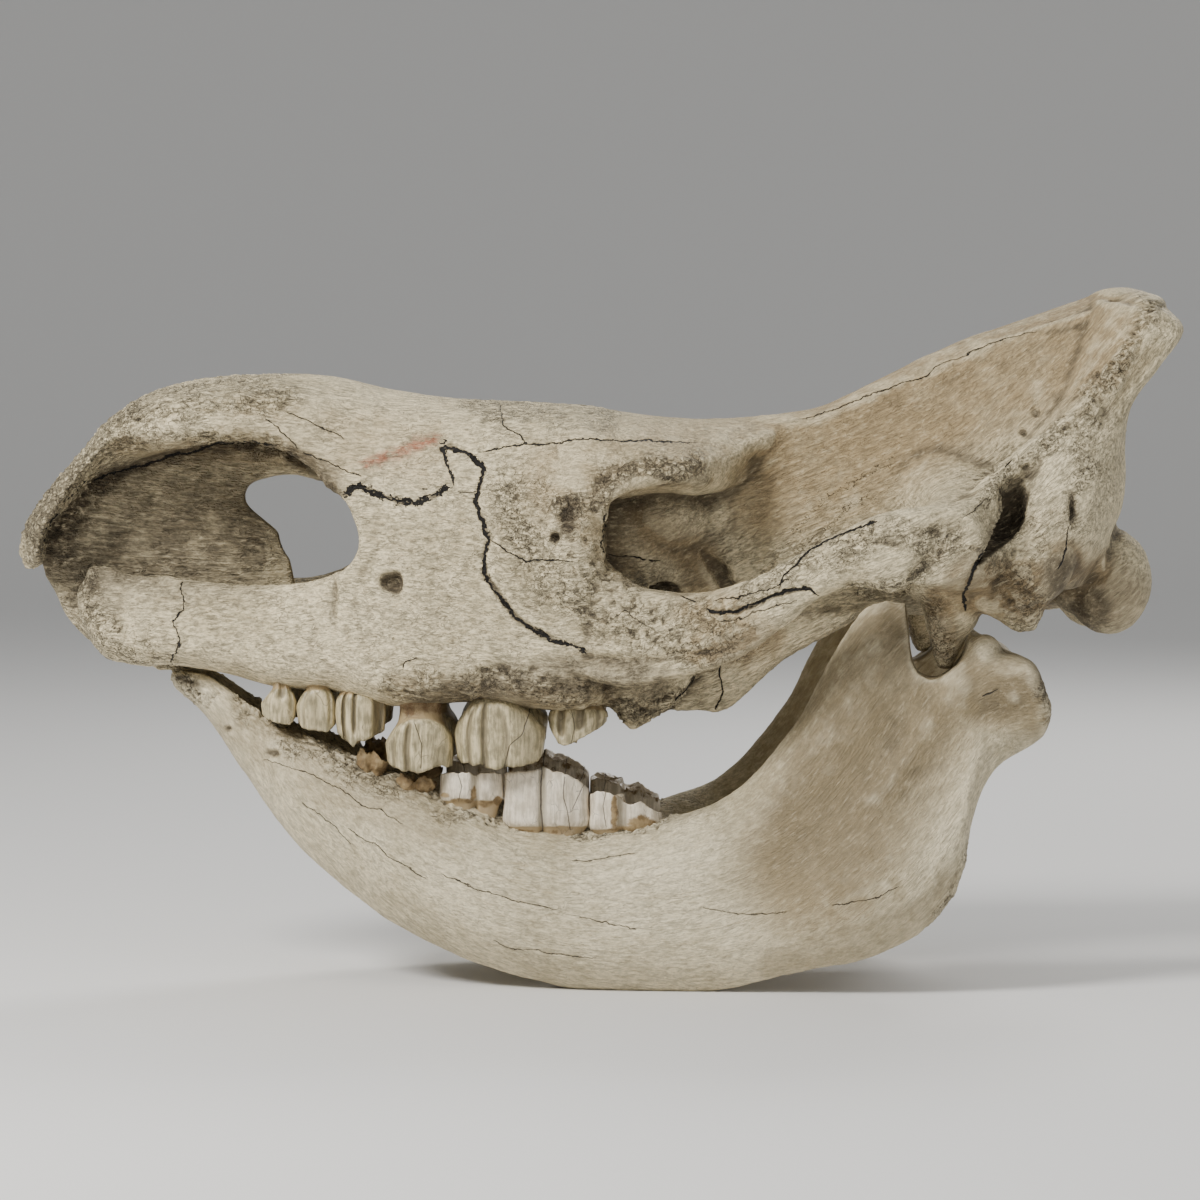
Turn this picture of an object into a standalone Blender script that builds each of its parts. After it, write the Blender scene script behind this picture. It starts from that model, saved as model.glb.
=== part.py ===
"""Fossil woolly rhinoceros skull: the cranium set on its lower jaw, with the cheek teeth of both.

The snout points to -X, the animal's left side to -Y, and the jaw stands on the floor at Z = 0.
Side outlines are picture points (u across, v down) read on the left side. spot() turns one into
a place in the world, given how many millimetres from the mid-plane it lies.
"""

import math

import bmesh
import bpy
import numpy as np
from mathutils import Matrix, Vector

MM = 0.001

# The side view that the outlines were read in
PIXEL = 0.67 * MM
VIEW_MIDDLE = 600.0
VIEW_DISTANCE = 3000 * MM
VIEW_TILT = math.radians(2.5)
VIEW_HEIGHT = 382.4 * MM
CENTRE_SHIFT = -4.85 * MM

# Fusing, wearing and thinning of the bones
BONE_VOXEL = 3.2 * MM
WEAR_TURNS = 3
CRANIUM_TRIANGLES = 4500
JAW_TRIANGLES = 1500
SHARP_ANGLE = math.radians(40)

# Rounded squares that the slabs and lobes are made of
RING_POINTS = 16
RING_SQUARENESS = 2.6

# Half rings run from the top of the mid-line round the left side to its underside, as (u, v, w)
NASAL_ROOF = [
    [(19, 552, 0), (20, 556, 7), (23, 563, 11), (28, 571, 11), (33, 569, 7), (33, 562, 4), (32, 556, 0)],
    [(22, 533, 0), (24, 538, 14), (28, 548, 24), (36, 562, 27),
     (43, 560, 20), (43, 550, 12), (41, 543, 0)],
    [(32, 512, 0), (34, 516, 22), (38, 527, 38), (46, 541, 43),
     (54, 541, 34), (54, 530, 20), (51, 524, 0)],
    [(50, 488, 0), (52, 491, 28), (55, 500, 48), (60, 512, 54),
     (68, 516, 44), (70, 507, 26), (68, 502, 0)],
    [(80, 453, 0), (81, 456, 34), (83, 464, 58), (86, 474, 65),
     (93, 480, 54), (96, 474, 34), (95, 468, 0)],
    [(115, 415, 0), (115, 419, 38), (115, 428, 66), (117, 444, 74),
     (121, 452, 63), (124, 444, 40), (124, 438, 0)],
    [(155, 391, 0), (155, 395, 42), (155, 407, 70), (155, 443, 80),
     (157, 452, 70), (158, 436, 46), (158, 424, 0)],
    [(205, 379, 0), (205, 384, 44), (205, 397, 72), (204, 436, 83),
     (205, 446, 74), (205, 428, 48), (205, 415, 0)],
    [(255, 375, 0), (255, 380, 42), (255, 394, 70), (255, 436, 82),
     (256, 446, 73), (256, 426, 46), (256, 412, 0)],
    [(305, 374, 0), (305, 379, 40), (305, 394, 66), (303, 448, 80),
     (303, 462, 70), (304, 450, 44), (305, 440, 0)],
    [(345, 379, 0), (345, 384, 38), (345, 400, 62), (342, 470, 79),
     (343, 498, 72), (345, 490, 44), (345, 480, 0)],
    [(375, 386, 0), (375, 391, 38), (375, 405, 62), (372, 465, 78),
     (373, 500, 70), (375, 490, 44), (375, 480, 0)],
]
SNOUT_FLOOR = [
    [(80, 616, 0), (79, 592, 14), (78, 588, 24), (77, 604, 31),
     (80, 618, 27), (82, 624, 16), (83, 624, 0)],
    [(100, 612, 0), (98, 572, 18), (97, 566, 27), (97, 600, 38),
     (99, 646, 34), (103, 655, 18), (105, 653, 0)],
    [(130, 618, 0), (130, 580, 22), (130, 574, 32), (130, 610, 44),
     (130, 655, 40), (130, 664, 22), (130, 655, 0)],
    [(180, 620, 0), (180, 586, 27), (180, 578, 38), (180, 615, 51),
     (180, 658, 47), (180, 666, 26), (180, 652, 0)],
    [(230, 622, 0), (230, 592, 32), (230, 584, 44), (230, 620, 58),
     (230, 665, 54), (230, 675, 32), (230, 656, 0)],
    [(280, 624, 0), (280, 594, 38), (280, 585, 50), (280, 622, 66),
     (280, 678, 63), (280, 688, 36), (280, 662, 0)],
    [(330, 624, 0), (330, 590, 44), (330, 577, 58), (330, 615, 74),
     (330, 680, 72), (330, 692, 38), (330, 666, 0)],
    [(380, 624, 0), (380, 570, 48), (380, 545, 62), (380, 610, 82),
     (380, 688, 82), (380, 701, 40), (380, 670, 0)],
]

# Half rings that stand upright across the skull, as u: (v, w) from the top to the underside
FACE = {
    338: [(378, 0), (384, 36), (400, 60), (445, 76), (530, 79),
          (610, 78), (685, 70), (694, 36), (666, 0)],
    400: [(391, 0), (396, 38), (412, 66), (450, 82), (530, 88),
          (615, 90), (698, 88), (705, 40), (670, 0)],
    465: [(399, 0), (403, 42), (418, 76), (458, 95), (530, 100),
          (620, 102), (692, 98), (700, 42), (667, 0)],
    530: [(402, 0), (407, 50), (423, 90), (462, 110), (530, 114),
          (610, 114), (700, 100), (706, 44), (665, 0)],
    585: [(406, 0), (411, 58), (430, 104), (470, 121), (530, 124),
          (605, 122), (705, 94), (706, 44), (664, 0)],
    604: [(408, 0), (413, 58), (434, 104), (474, 119), (530, 116),
          (600, 116), (700, 88), (702, 46), (664, 0)],
}
FOREHEAD = {
    560: [(404, 0), (409, 56), (428, 100), (466, 117), (486, 108), (495, 60), (495, 0)],
    610: [(410, 0), (415, 60), (438, 106), (474, 122), (492, 112), (500, 62), (500, 0)],
    660: [(417, 0), (421, 58), (443, 102), (468, 119), (484, 108), (495, 60), (500, 0)],
    700: [(419, 0), (423, 52), (440, 84), (472, 108), (489, 98), (495, 54), (500, 0)],
    722: [(419, 0), (422, 44), (437, 74), (470, 92), (486, 80), (492, 50), (500, 0)],
    745: [(418, 0), (421, 38), (431, 58), (449, 73), (466, 62), (485, 48), (500, 0)],
    770: [(417, 0), (420, 34), (427, 46), (438, 55), (452, 51), (472, 44), (500, 0)],
    795: [(413, 0), (416, 30), (421, 37), (428, 42), (440, 41), (460, 40), (500, 0)],
}
BRAINCASE = {
    560: [(430, 0), (440, 50), (450, 68), (480, 74), (540, 76), (600, 72), (655, 50), (650, 0)],
    640: [(430, 0), (440, 50), (450, 62), (480, 66), (530, 72), (590, 68), (650, 45), (645, 0)],
    700: [(420, 0), (430, 44), (446, 54), (480, 56), (530, 55), (590, 52), (640, 38), (632, 0)],
    760: [(417, 0), (424, 44), (440, 52), (480, 55), (530, 56), (585, 52), (625, 34), (622, 0)],
    820: [(408, 0), (414, 42), (432, 48), (470, 56), (520, 62), (575, 60), (615, 34), (618, 0)],
    880: [(379, 0), (389, 38), (408, 43), (455, 56), (510, 68), (565, 66), (608, 36), (616, 0)],
    940: [(349, 0), (364, 35), (385, 42), (440, 60), (500, 76), (560, 72), (604, 38), (614, 0)],
    1000: [(327, 0), (341, 36), (362, 46), (420, 70), (490, 88), (560, 80), (602, 40), (612, 0)],
    1060: [(306, 0), (325, 42), (345, 56), (400, 84), (480, 98), (560, 84), (600, 42), (608, 0)],
    1105: [(291, 0), (314, 52), (335, 66), (390, 92), (480, 100), (560, 80), (596, 40), (602, 0)],
}

# Level half rings of the back of the head, from its front to its back, as (u, v, w)
OCCIPUT = [
    [(1095, 296, 0), (1100, 300, 45), (1128, 306, 76), (1166, 309, 72), (1156, 301, 40), (1143, 294, 0)],
    [(1080, 322, 0), (1085, 325, 50), (1125, 328, 88), (1184, 328, 84), (1166, 325, 45), (1150, 322, 0)],
    [(1065, 355, 0), (1070, 358, 60), (1100, 362, 94), (1160, 364, 92), (1153, 360, 50), (1140, 358, 0)],
    [(1050, 400, 0), (1050, 400, 70), (1080, 402, 102), (1128, 402, 98), (1134, 400, 52), (1128, 400, 0)],
    [(1030, 450, 0), (1020, 450, 80), (1040, 450, 112),
     (1112, 452, 106), (1127, 450, 55), (1122, 450, 0)],
    [(1010, 500, 0), (1000, 500, 85), (1020, 500, 120),
     (1105, 502, 116), (1123, 500, 58), (1115, 500, 0)],
    [(1000, 545, 0), (1000, 545, 85), (1030, 545, 128),
     (1085, 548, 122), (1110, 545, 60), (1106, 540, 0)],
    [(1000, 580, 0), (1005, 585, 60), (1040, 588, 100), (1070, 590, 96), (1085, 585, 50), (1090, 580, 0)],
]

# Closed rings that lie level, as v: (front u, back u, inner w, outer w)
EAR_LOBE = {
    500: (1012, 1078, 85, 120),
    540: (988, 1084, 92, 132),
    565: (968, 1076, 96, 137),
    590: (963, 1064, 98, 138),
    606: (970, 1046, 102, 136),
    620: (998, 1040, 104, 130),
    631: (1014, 1036, 110, 124),
}
JAW_STOP = {
    565: (900, 985, 85, 150),
    590: (905, 985, 88, 142),
    605: (922, 981, 87, 130),
    622: (925, 977, 87, 124),
    640: (930, 966, 88, 116),
    656: (934, 957, 91, 112),
    669: (939, 951, 97, 107),
}

# Closed rings across the root of the cheek arch, as w: (front u, back u, top v, bottom v)
ARCH_ROOT = {
    50: (900, 1060, 450, 600),
    80: (905, 1055, 466, 600),
    115: (905, 1035, 482, 596),
    145: (890, 1000, 500, 592),
    164: (870, 985, 508, 586),
}

# Upper and lower outlines, and how far out each stretch lies, as u: (outer w, inner w)
ARCH_TOP = [
    (540, 560), (600, 558), (615, 570), (632, 583), (660, 591), (700, 593), (740, 585), (780, 566),
    (820, 543), (860, 522), (900, 509), (940, 505), (965, 499), (1000, 478),
]
ARCH_BOTTOM = [
    (540, 645), (560, 655), (600, 679), (640, 676), (680, 671), (720, 661), (755, 645), (780, 627),
    (800, 612), (822, 597), (850, 587), (872, 587), (895, 595), (907, 588), (918, 570), (945, 557),
    (965, 551), (1000, 545),
]
ARCH_REACH = {
    540: (110, 60), 600: (123, 64), 640: (131, 92), 700: (142, 114), 760: (153, 130), 820: (164, 143),
    880: (172, 148), 920: (170, 140), 960: (160, 122), 1000: (142, 100),
}
ARCH_STATIONS = range(540, 1001, 20)

PALATE_EDGE_TOP = [(600, 610), (700, 600), (872, 585)]
PTERYGOID_BOTTOM = [
    (600, 700), (668, 711), (700, 712), (727, 711), (745, 697), (775, 668), (800, 651), (830, 635),
    (855, 620), (872, 600),
]
PTERYGOID_REACH = {600: (46, 30), 668: (44, 31), 727: (42, 32), 800: (40, 31), 872: (38, 30)}
PTERYGOID_STATIONS = (600, 640, 668, 700, 727, 745, 760, 775, 800, 830, 855, 872)

TUBEROSITY_TOP = [(590, 620), (700, 620)]
TUBEROSITY_BOTTOM = [
    (590, 706), (615, 708), (622, 722), (632, 731), (645, 724), (660, 713), (680, 700), (697, 672),
]
TUBEROSITY_REACH = {590: (95, 40), 632: (84, 42), 660: (72, 42), 697: (62, 44)}
TUBEROSITY_STATIONS = (590, 605, 618, 632, 645, 660, 680, 697)

# The plate between the two sides of the nose, and the gap right through behind it, in millimetres
SEPTUM_HALF = 6.5
NOSE_HOLE_DEPTH = 76
NOSE_HOLE_REACH = 130
SEPTUM = [
    (42, 553), (47, 540), (65, 515), (95, 470), (130, 440), (200, 405), (345, 405), (345, 484),
    (300, 476), (268, 478), (247, 487), (245, 500), (262, 518), (284, 540), (291, 562), (292, 640),
    (90, 640), (72, 622), (58, 597),
]
NOSE_HOLE = [
    (262, 479), (297, 478), (318, 490), (341, 496), (351, 512), (359, 535), (359, 549), (350, 567),
    (322, 577), (292, 584), (291, 566), (284, 540), (268, 521), (247, 504), (245, 490),
]

# Ridges laid on the bone, as (u, v, w, radius in millimetres)
NECK_CREST = [
    (1160, 316, 76, 8), (1150, 334, 86, 9), (1125, 362, 93, 10), (1095, 402, 99, 10),
    (1065, 433, 104, 10), (1025, 460, 112, 10), (985, 494, 126, 10),
]
TEMPORAL_CREST = [
    (790, 424, 45, 4), (860, 399, 38, 4.5), (915, 379, 34, 4.5), (980, 348, 35, 4.5), (1040, 330, 40, 5),
    (1110, 313, 56, 6), (1144, 310, 72, 6),
]
BROW = [
    (604, 520, 116, 6), (602, 498, 119, 7), (616, 485, 121, 8), (645, 477, 119, 8), (680, 475, 112, 8),
    (708, 484, 100, 7),
]
CHEEK_CREST = [
    (540, 640, 108, 5), (575, 664, 116, 7), (620, 676, 126, 8), (680, 668, 136, 7), (740, 650, 146, 6),
]
TEAR_BONE = [(572, 488, 116, 6), (574, 510, 119, 8), (585, 530, 120, 7)]

# Knuckles and hollows, as (u, v, w), then half sizes along X, Y and Z in millimetres
KNUCKLE = ((1108, 580, 43), (29, 26, 36))
KNUCKLE_NECK = ((1080, 572, 40), (26, 24, 28))
HOLLOWS = [
    ((350, 532, 0), (48, 56, 33)),
    ((420, 552, 0), (55, 42, 34)),
    ((389, 585, 92), (5, 12, 12)),
    ((1010, 517, 132), (9, 26, 18)),
    ((655, 579, 72), (13, 16, 8)),
    ((1150, 545, 0), (70, 24, 21)),
    ((650, 648, 0), (60, 26, 18)),
]

# Lower jaw: outlines in the side view, then the half rings of the chin and the reach of each branch
JAW_TOP = [
    (280, 727), (310, 736), (345, 750), (380, 768), (410, 778), (450, 796), (480, 806), (510, 821),
    (540, 826), (590, 831), (615, 826), (645, 823), (672, 817), (700, 803), (722, 799), (750, 777),
    (780, 742), (800, 715), (818, 680), (835, 648), (852, 622), (866, 606), (880, 600), (900, 600),
    (908, 612), (911, 660), (920, 675), (932, 678), (950, 670), (962, 659), (968, 641), (976, 635),
    (990, 635), (1003, 648), (1020, 655), (1035, 664), (1046, 693), (1051, 712),
]
JAW_BOTTOM = [
    (280, 822), (300, 847), (320, 866), (340, 884), (380, 915), (420, 938), (460, 957), (500, 971),
    (540, 982), (570, 989), (600, 992), (640, 993.5), (680, 993.5), (715, 992), (745, 986), (785, 976),
    (820, 969), (860, 962), (890, 950), (920, 934), (940, 913), (957, 887), (968, 858), (970, 828),
    (980, 800), (992, 775), (1010, 758), (1030, 747), (1046, 732), (1051, 716),
]
# u: (middle w, half thickness) at the upper edge, half way down and at the lower edge
JAW_REACH = {
    280: ((32, 16), (34, 20), (26, 14)),
    340: ((44, 18), (46, 24), (36, 16)),
    400: ((54, 19), (62, 25), (54, 18)),
    480: ((60, 21), (70, 28), (68, 20)),
    560: ((62, 22), (74, 29), (76, 20)),
    640: ((66, 22), (80, 29), (82, 19)),
    700: ((78, 17), (84, 28), (88, 15)),
    760: ((88, 11), (90, 22), (98, 13)),
    820: ((92, 8), (98, 15), (108, 13)),
    880: ((98, 7), (104, 11), (113, 13)),
    905: ((100, 6), (106, 10), (114, 12)),
    935: ((104, 8), (108, 10), (114, 11)),
    960: ((106, 12), (110, 13), (114, 10)),
    985: ((108, 20), (110, 18), (112, 10)),
    1015: ((105, 32), (105, 26), (110, 12)),
    1038: ((104, 38), (104, 34), (106, 18)),
    1051: ((104, 30), (104, 30), (104, 26)),
}
JAW_STATIONS = (
    280, 310, 345, 380, 410, 450, 480, 510, 540, 570, 600, 640, 680, 722, 750, 780, 800, 818, 835, 852,
    866, 880, 900, 908, 911, 920, 932, 950, 962, 968, 976, 990, 1003, 1020, 1035, 1046, 1051,
)
CHIN = [
    [(171, 673, 0), (171, 670, 16), (171, 676, 22), (172, 683, 16), (172, 685, 0)],
    [(205, 688, 0), (205, 674, 26), (205, 692, 34), (205, 712, 20), (205, 715, 0)],
    [(240, 722, 0), (240, 696, 30), (240, 730, 38), (240, 762, 22), (240, 766, 0)],
    [(290, 765, 0), (290, 731, 34), (290, 785, 44), (290, 832, 24), (290, 836, 0)],
    [(330, 810, 0), (330, 745, 46), (330, 810, 55), (330, 872, 26), (330, 874, 0)],
    [(354, 848, 0), (354, 756, 50), (354, 830, 58), (354, 890, 34), (354, 884, 0)],
]
# The rounding of a branch's rims, as a share of its height and at most so many picture points
JAW_RIM_SHARE = 0.12
JAW_RIM_MOST = 18
JAW_CONDYLE = ((1012, 690, 98), (17, 46, 17))
JAW_CONDYLE_TURN = math.radians(25)
JAW_KNOB = ((985, 657, 114), (12, 20, 15))
JAW_RIDGES = [
    [(972, 662, 122, 6), (945, 700, 120, 6), (914, 742, 118, 5), (880, 790, 114, 4)],
    [(905, 930, 120, 5), (945, 893, 122, 6), (962, 850, 120, 5)],
]
FLOOR_CUT_DEPTH = 30 * MM

# Upper cheek teeth of one side: front u, back u, top of root v, biting edge v, outer w, inner w
UPPER_TEETH = {
    "premolar_2": (262, 296, 672, 724, 59, 34),
    "premolar_3": (298, 336, 674, 731, 65, 34),
    "premolar_4": (338, 384, 678, 744, 72, 36),
    "molar_1": (389, 451, 684, 770.5, 85, 38),
    "molar_2": (456, 544, 680, 767, 92, 40),
    "molar_3": (550, 607, 690, 745, 88, 42),
}
# Lower cheek teeth: front u, back u, biting edge v, bottom of root v, outer w, inner w
LOWER_TEETH = {
    "premolar_3": (356, 388, 749, 790, 66, 42),
    "premolar_4": (396, 436, 777, 808, 72, 44),
    "molar_1": (440, 501, 772, 824, 77, 46),
    "molar_2": (505, 586, 771, 850, 79, 47),
    "molar_3": (592, 662, 792, 850, 80, 48),
}
TOOTH_CORNERS = 10
TOOTH_SQUARENESS = 3.2
# Levels of a tooth: share of the way from root to biting edge, size, and lean towards the tongue
TOOTH_LEVELS = ((0, 0.62, -0.10), (0.35, 0.82, -0.04), (0.62, 1.0, 0), (0.93, 0.98, 0), (1, 0.86, 0))
SOCKET_GAP = 0.4 * MM

BONE = ((0.52, 0.46, 0.36, 1.0), 0.75)
JAW_BONE = ((0.56, 0.51, 0.42, 1.0), 0.72)
ENAMEL = ((0.55, 0.50, 0.36, 1.0), 0.45)
LOWER_ENAMEL = ((0.68, 0.63, 0.52, 1.0), 0.45)


def spot(u, v, w):
    """Where picture point (u, v) lies when it is w millimetres to the left of the mid-plane."""
    focal = VIEW_DISTANCE / (PIXEL * math.cos(VIEW_TILT))
    across = (u - VIEW_MIDDLE) / focal
    down = (v - VIEW_MIDDLE) / focal
    ahead = math.cos(VIEW_TILT) - down * math.sin(VIEW_TILT)
    lift = -math.sin(VIEW_TILT) - down * math.cos(VIEW_TILT)
    reach = (VIEW_DISTANCE - w * MM) / ahead
    return Vector((reach * across - CENTRE_SHIFT, -w * MM, VIEW_HEIGHT + reach * lift))


def curve_through(rows, steps, cyclic=False):
    """Rows of a smooth curve through the given rows, with steps to each span."""
    rows = np.asarray(rows, float)
    closed = np.concatenate([rows, rows[:1]]) if cyclic else rows
    flat = closed.reshape(len(closed), -1)
    chord = np.maximum(np.linalg.norm(np.diff(flat, axis=0), axis=1), 1e-9)[:, None]
    slope = np.diff(flat, axis=0) / chord
    tangent = np.empty_like(flat)
    weight = chord[1:] + chord[:-1]
    tangent[1:-1] = (slope[:-1] * chord[1:] + slope[1:] * chord[:-1]) / weight
    if cyclic:
        seam = (slope[-1] * chord[0] + slope[0] * chord[-1]) / (chord[0] + chord[-1])
        tangent[0] = tangent[-1] = seam
    else:
        tangent[0], tangent[-1] = slope[0], slope[-1]
    found = []
    for i in range(len(chord)):
        for s in range(steps):
            t = s / steps
            h = chord[i]
            found.append(
                (1 + 2 * t) * (1 - t) ** 2 * flat[i]
                + t * (1 - t) ** 2 * h * tangent[i]
                + t * t * (3 - 2 * t) * flat[i + 1]
                - t * t * (1 - t) * h * tangent[i + 1]
            )
    if not cyclic:
        found.append(flat[-1])
    return np.array(found).reshape((-1, *rows.shape[1:]))


def height_at(outline, u):
    """The v of a smooth outline at u."""
    line = curve_through(outline, 4)
    return float(np.interp(u, line[:, 0], line[:, 1]))


def between(table, key):
    """The row of a table at a key, worked out from its neighbours where it has none."""
    keys = sorted(table)
    rows = np.array([table[k] for k in keys], float)
    flat = rows.reshape(len(keys), -1)
    found = [float(np.interp(key, keys, flat[:, i])) for i in range(flat.shape[1])]
    return np.array(found).reshape(rows.shape[1:])


def skin(bm, rings):
    """A closed shell: the first ring extruded through the others, with both ends filled."""
    verts = [bm.verts.new(p) for p in rings[0]]
    edges = [bm.edges.new(pair) for pair in zip(verts, verts[1:] + verts[:1])]
    start = edges
    for ring in rings[1:]:
        grown = set(bmesh.ops.extrude_edge_only(bm, edges=edges)["geom"])
        fresh = []
        for vert in verts:
            fresh += [e.other_vert(vert) for e in vert.link_edges if e.other_vert(vert) in grown]
        for vert, place in zip(fresh, ring):
            vert.co = place
        verts = fresh
        edges = [bm.edges.get(pair) for pair in zip(verts, verts[1:] + verts[:1])]
    bmesh.ops.edgeloop_fill(bm, edges=start)
    bmesh.ops.edgeloop_fill(bm, edges=edges)


def whole_ring(half):
    """Both sides of a half ring that starts and ends on the mid-line."""
    left = [tuple(p) for p in half]
    right = [(u, v, -w) for u, v, w in reversed(left[1:-1])]
    return left + right


def symmetric_shell(bm, halves, steps=3):
    """A shell across the mid-line, through half rings of (u, v, w)."""
    rings = curve_through([whole_ring(half) for half in halves], steps)
    placed = []
    for ring in rings:
        level = curve_through(ring, 2, cyclic=True)
        placed.append([mirrored_spot(*p) for p in level])
    skin(bm, placed)


def mirrored_spot(u, v, w):
    """As spot, but the right side mirrors the left one."""
    place = spot(u, v, abs(w))
    return Vector((place.x, math.copysign(place.y, -w), place.z))


def upright(table):
    """Half rings of (u, v, w) from a table of u: (v, w) pairs."""
    return [[(u, v, w) for v, w in table[u]] for u in sorted(table)]


def squircle(count=RING_POINTS, squareness=RING_SQUARENESS):
    """Points of a rounded square of half size 1."""
    points = []
    power = 2 / squareness
    for i in range(count):
        angle = 2 * math.pi * (i + 0.5) / count
        c, s = math.cos(angle), math.sin(angle)
        points.append((math.copysign(abs(c) ** power, c), math.copysign(abs(s) ** power, s)))
    return points


def upright_slab(bm, stations, top, bottom, reach):
    """A shell on one side between two outlines of the side view."""
    rings = []
    for u in stations:
        upper, lower = height_at(top, u), height_at(bottom, u)
        outer, inner = between(reach, u)
        middle_v, half_v = (upper + lower) / 2, (lower - upper) / 2
        middle_w, half_w = (outer + inner) / 2, (outer - inner) / 2
        rings.append([spot(u, middle_v + half_v * b, middle_w + half_w * a) for a, b in squircle()])
    skin(bm, rings)


def level_lobe(bm, table):
    """A shell through level rings on one side."""
    rings = []
    for v in sorted(table):
        front, back, inner, outer = table[v]
        middle_u, half_u = (front + back) / 2, (back - front) / 2
        middle_w, half_w = (outer + inner) / 2, (outer - inner) / 2
        rings.append([spot(middle_u + half_u * a, v, middle_w + half_w * b) for a, b in squircle()])
    skin(bm, curve_through(rings, 2))


def cross_root(bm, table):
    """A shell through rings that face sideways."""
    rings = []
    for w in sorted(table):
        front, back, top, bottom = table[w]
        middle_u, half_u = (front + back) / 2, (back - front) / 2
        middle_v, half_v = (top + bottom) / 2, (bottom - top) / 2
        rings.append([spot(middle_u + half_u * a, middle_v + half_v * b, w) for a, b in squircle()])
    skin(bm, curve_through(rings, 2))


def ridge(bm, path, steps=4, sides=8):
    """A rounded ridge along a path of (u, v, w, radius)."""
    run = curve_through(path, steps)
    places = [spot(u, v, w) for u, v, w, _ in run]
    rings = []
    for i, place in enumerate(places):
        along = places[min(i + 1, len(places) - 1)] - places[max(i - 1, 0)]
        side = along.cross(Vector((0, 1, 0))).normalized()
        out = side.cross(along).normalized()
        radius = float(run[i][3]) * MM
        turns = [2 * math.pi * k / sides for k in range(sides)]
        rings.append([place + radius * (math.cos(a) * side + math.sin(a) * out) for a in turns])
    skin(bm, rings)


def lump(bm, place, half_sizes, turn=0.0):
    """An ellipsoid on the left side or the mid-line."""
    scale = Matrix.Diagonal([s * MM for s in half_sizes]).to_4x4()
    matrix = Matrix.Translation(spot(*place)) @ Matrix.Rotation(turn, 4, "Y") @ scale
    bmesh.ops.create_icosphere(bm, subdivisions=3, radius=1.0, matrix=matrix)


def plate(bm, outline, depth, reach):
    """A flat plate across the mid-plane, with a side-view outline read at a depth."""
    places = [spot(u, v, depth) for u, v in outline]
    skin(bm, [[Vector((p.x, side * reach * MM, p.z)) for p in places] for side in (-1, 1)])


def add_right_side(bm):
    """Adds the mirror image of everything in the mesh."""
    copied = bmesh.ops.duplicate(bm, geom=bm.verts[:] + bm.edges[:] + bm.faces[:])["geom"]
    verts = [g for g in copied if isinstance(g, bmesh.types.BMVert)]
    faces = [g for g in copied if isinstance(g, bmesh.types.BMFace)]
    bmesh.ops.scale(bm, vec=(1, -1, 1), verts=verts)
    bmesh.ops.reverse_faces(bm, faces=faces)


def object_from(bm, name):
    """A new object in the scene from a bmesh, with its faces turned outwards."""
    bmesh.ops.recalc_face_normals(bm, faces=bm.faces)
    mesh = bpy.data.meshes.new(name)
    bm.to_mesh(mesh)
    bm.free()
    made = bpy.data.objects.new(name, mesh)
    bpy.context.scene.collection.objects.link(made)
    return made


def as_helper(made):
    made.hide_render = True
    made.display_type = "WIRE"
    return made


def finish_of(name, colour, roughness):
    material = bpy.data.materials.new(name)
    material.use_nodes = True
    shader = material.node_tree.nodes["Principled BSDF"]
    shader.inputs["Base Color"].default_value = colour
    shader.inputs["Roughness"].default_value = roughness
    shader.inputs["Metallic"].default_value = 0.0
    material.diffuse_color = colour
    return material


def add_remesh(made, voxel=BONE_VOXEL):
    remesh = made.modifiers.new("Fuse", "REMESH")
    remesh.mode = "VOXEL"
    remesh.voxel_size = voxel


def add_smooth(made, turns, factor=0.5):
    smooth = made.modifiers.new("Wear", "SMOOTH")
    smooth.factor = factor
    smooth.iterations = turns


def add_cut(made, cutter, name):
    cut = made.modifiers.new(name, "BOOLEAN")
    cut.operation = "DIFFERENCE"
    cut.object = cutter
    cut.solver = "MANIFOLD"


def settle(made, name):
    """The object's evaluated mesh in a fresh object; the old one is removed."""
    graph = bpy.context.evaluated_depsgraph_get()
    mesh = bpy.data.meshes.new_from_object(made.evaluated_get(graph))
    mesh.name = name
    bpy.data.objects.remove(made)
    settled = bpy.data.objects.new(name, mesh)
    bpy.context.scene.collection.objects.link(settled)
    return settled


def thinned(made, triangles):
    """Thins the object's mesh to about a number of triangles."""
    count = sum(len(face.vertices) - 2 for face in made.data.polygons)
    thin = made.modifiers.new("Thin", "DECIMATE")
    thin.ratio = min(1.0, triangles / count)
    thin.use_collapse_triangulate = True


def cranium_shells():
    bm = bmesh.new()
    upright_slab(bm, ARCH_STATIONS, ARCH_TOP, ARCH_BOTTOM, ARCH_REACH)
    upright_slab(bm, PTERYGOID_STATIONS, PALATE_EDGE_TOP, PTERYGOID_BOTTOM, PTERYGOID_REACH)
    upright_slab(bm, TUBEROSITY_STATIONS, TUBEROSITY_TOP, TUBEROSITY_BOTTOM, TUBEROSITY_REACH)
    cross_root(bm, ARCH_ROOT)
    level_lobe(bm, EAR_LOBE)
    level_lobe(bm, JAW_STOP)
    for path in (NECK_CREST, TEMPORAL_CREST, BROW, CHEEK_CREST, TEAR_BONE):
        ridge(bm, path)
    lump(bm, *KNUCKLE)
    lump(bm, *KNUCKLE_NECK)
    add_right_side(bm)
    symmetric_shell(bm, NASAL_ROOF)
    symmetric_shell(bm, SNOUT_FLOOR)
    symmetric_shell(bm, upright(FACE))
    symmetric_shell(bm, upright(FOREHEAD))
    symmetric_shell(bm, upright(BRAINCASE))
    symmetric_shell(bm, OCCIPUT)
    plate(bm, SEPTUM, 0, SEPTUM_HALF)
    return object_from(bm, "cranium_shells")


def hollow_shells():
    """The nose opening behind the septum, the nasal passage and the pits, as one cutter."""
    bm = bmesh.new()
    for place, sizes in HOLLOWS:
        lump(bm, place, sizes)
    add_right_side(bm)
    return object_from(bm, "cranium_hollows")


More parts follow.
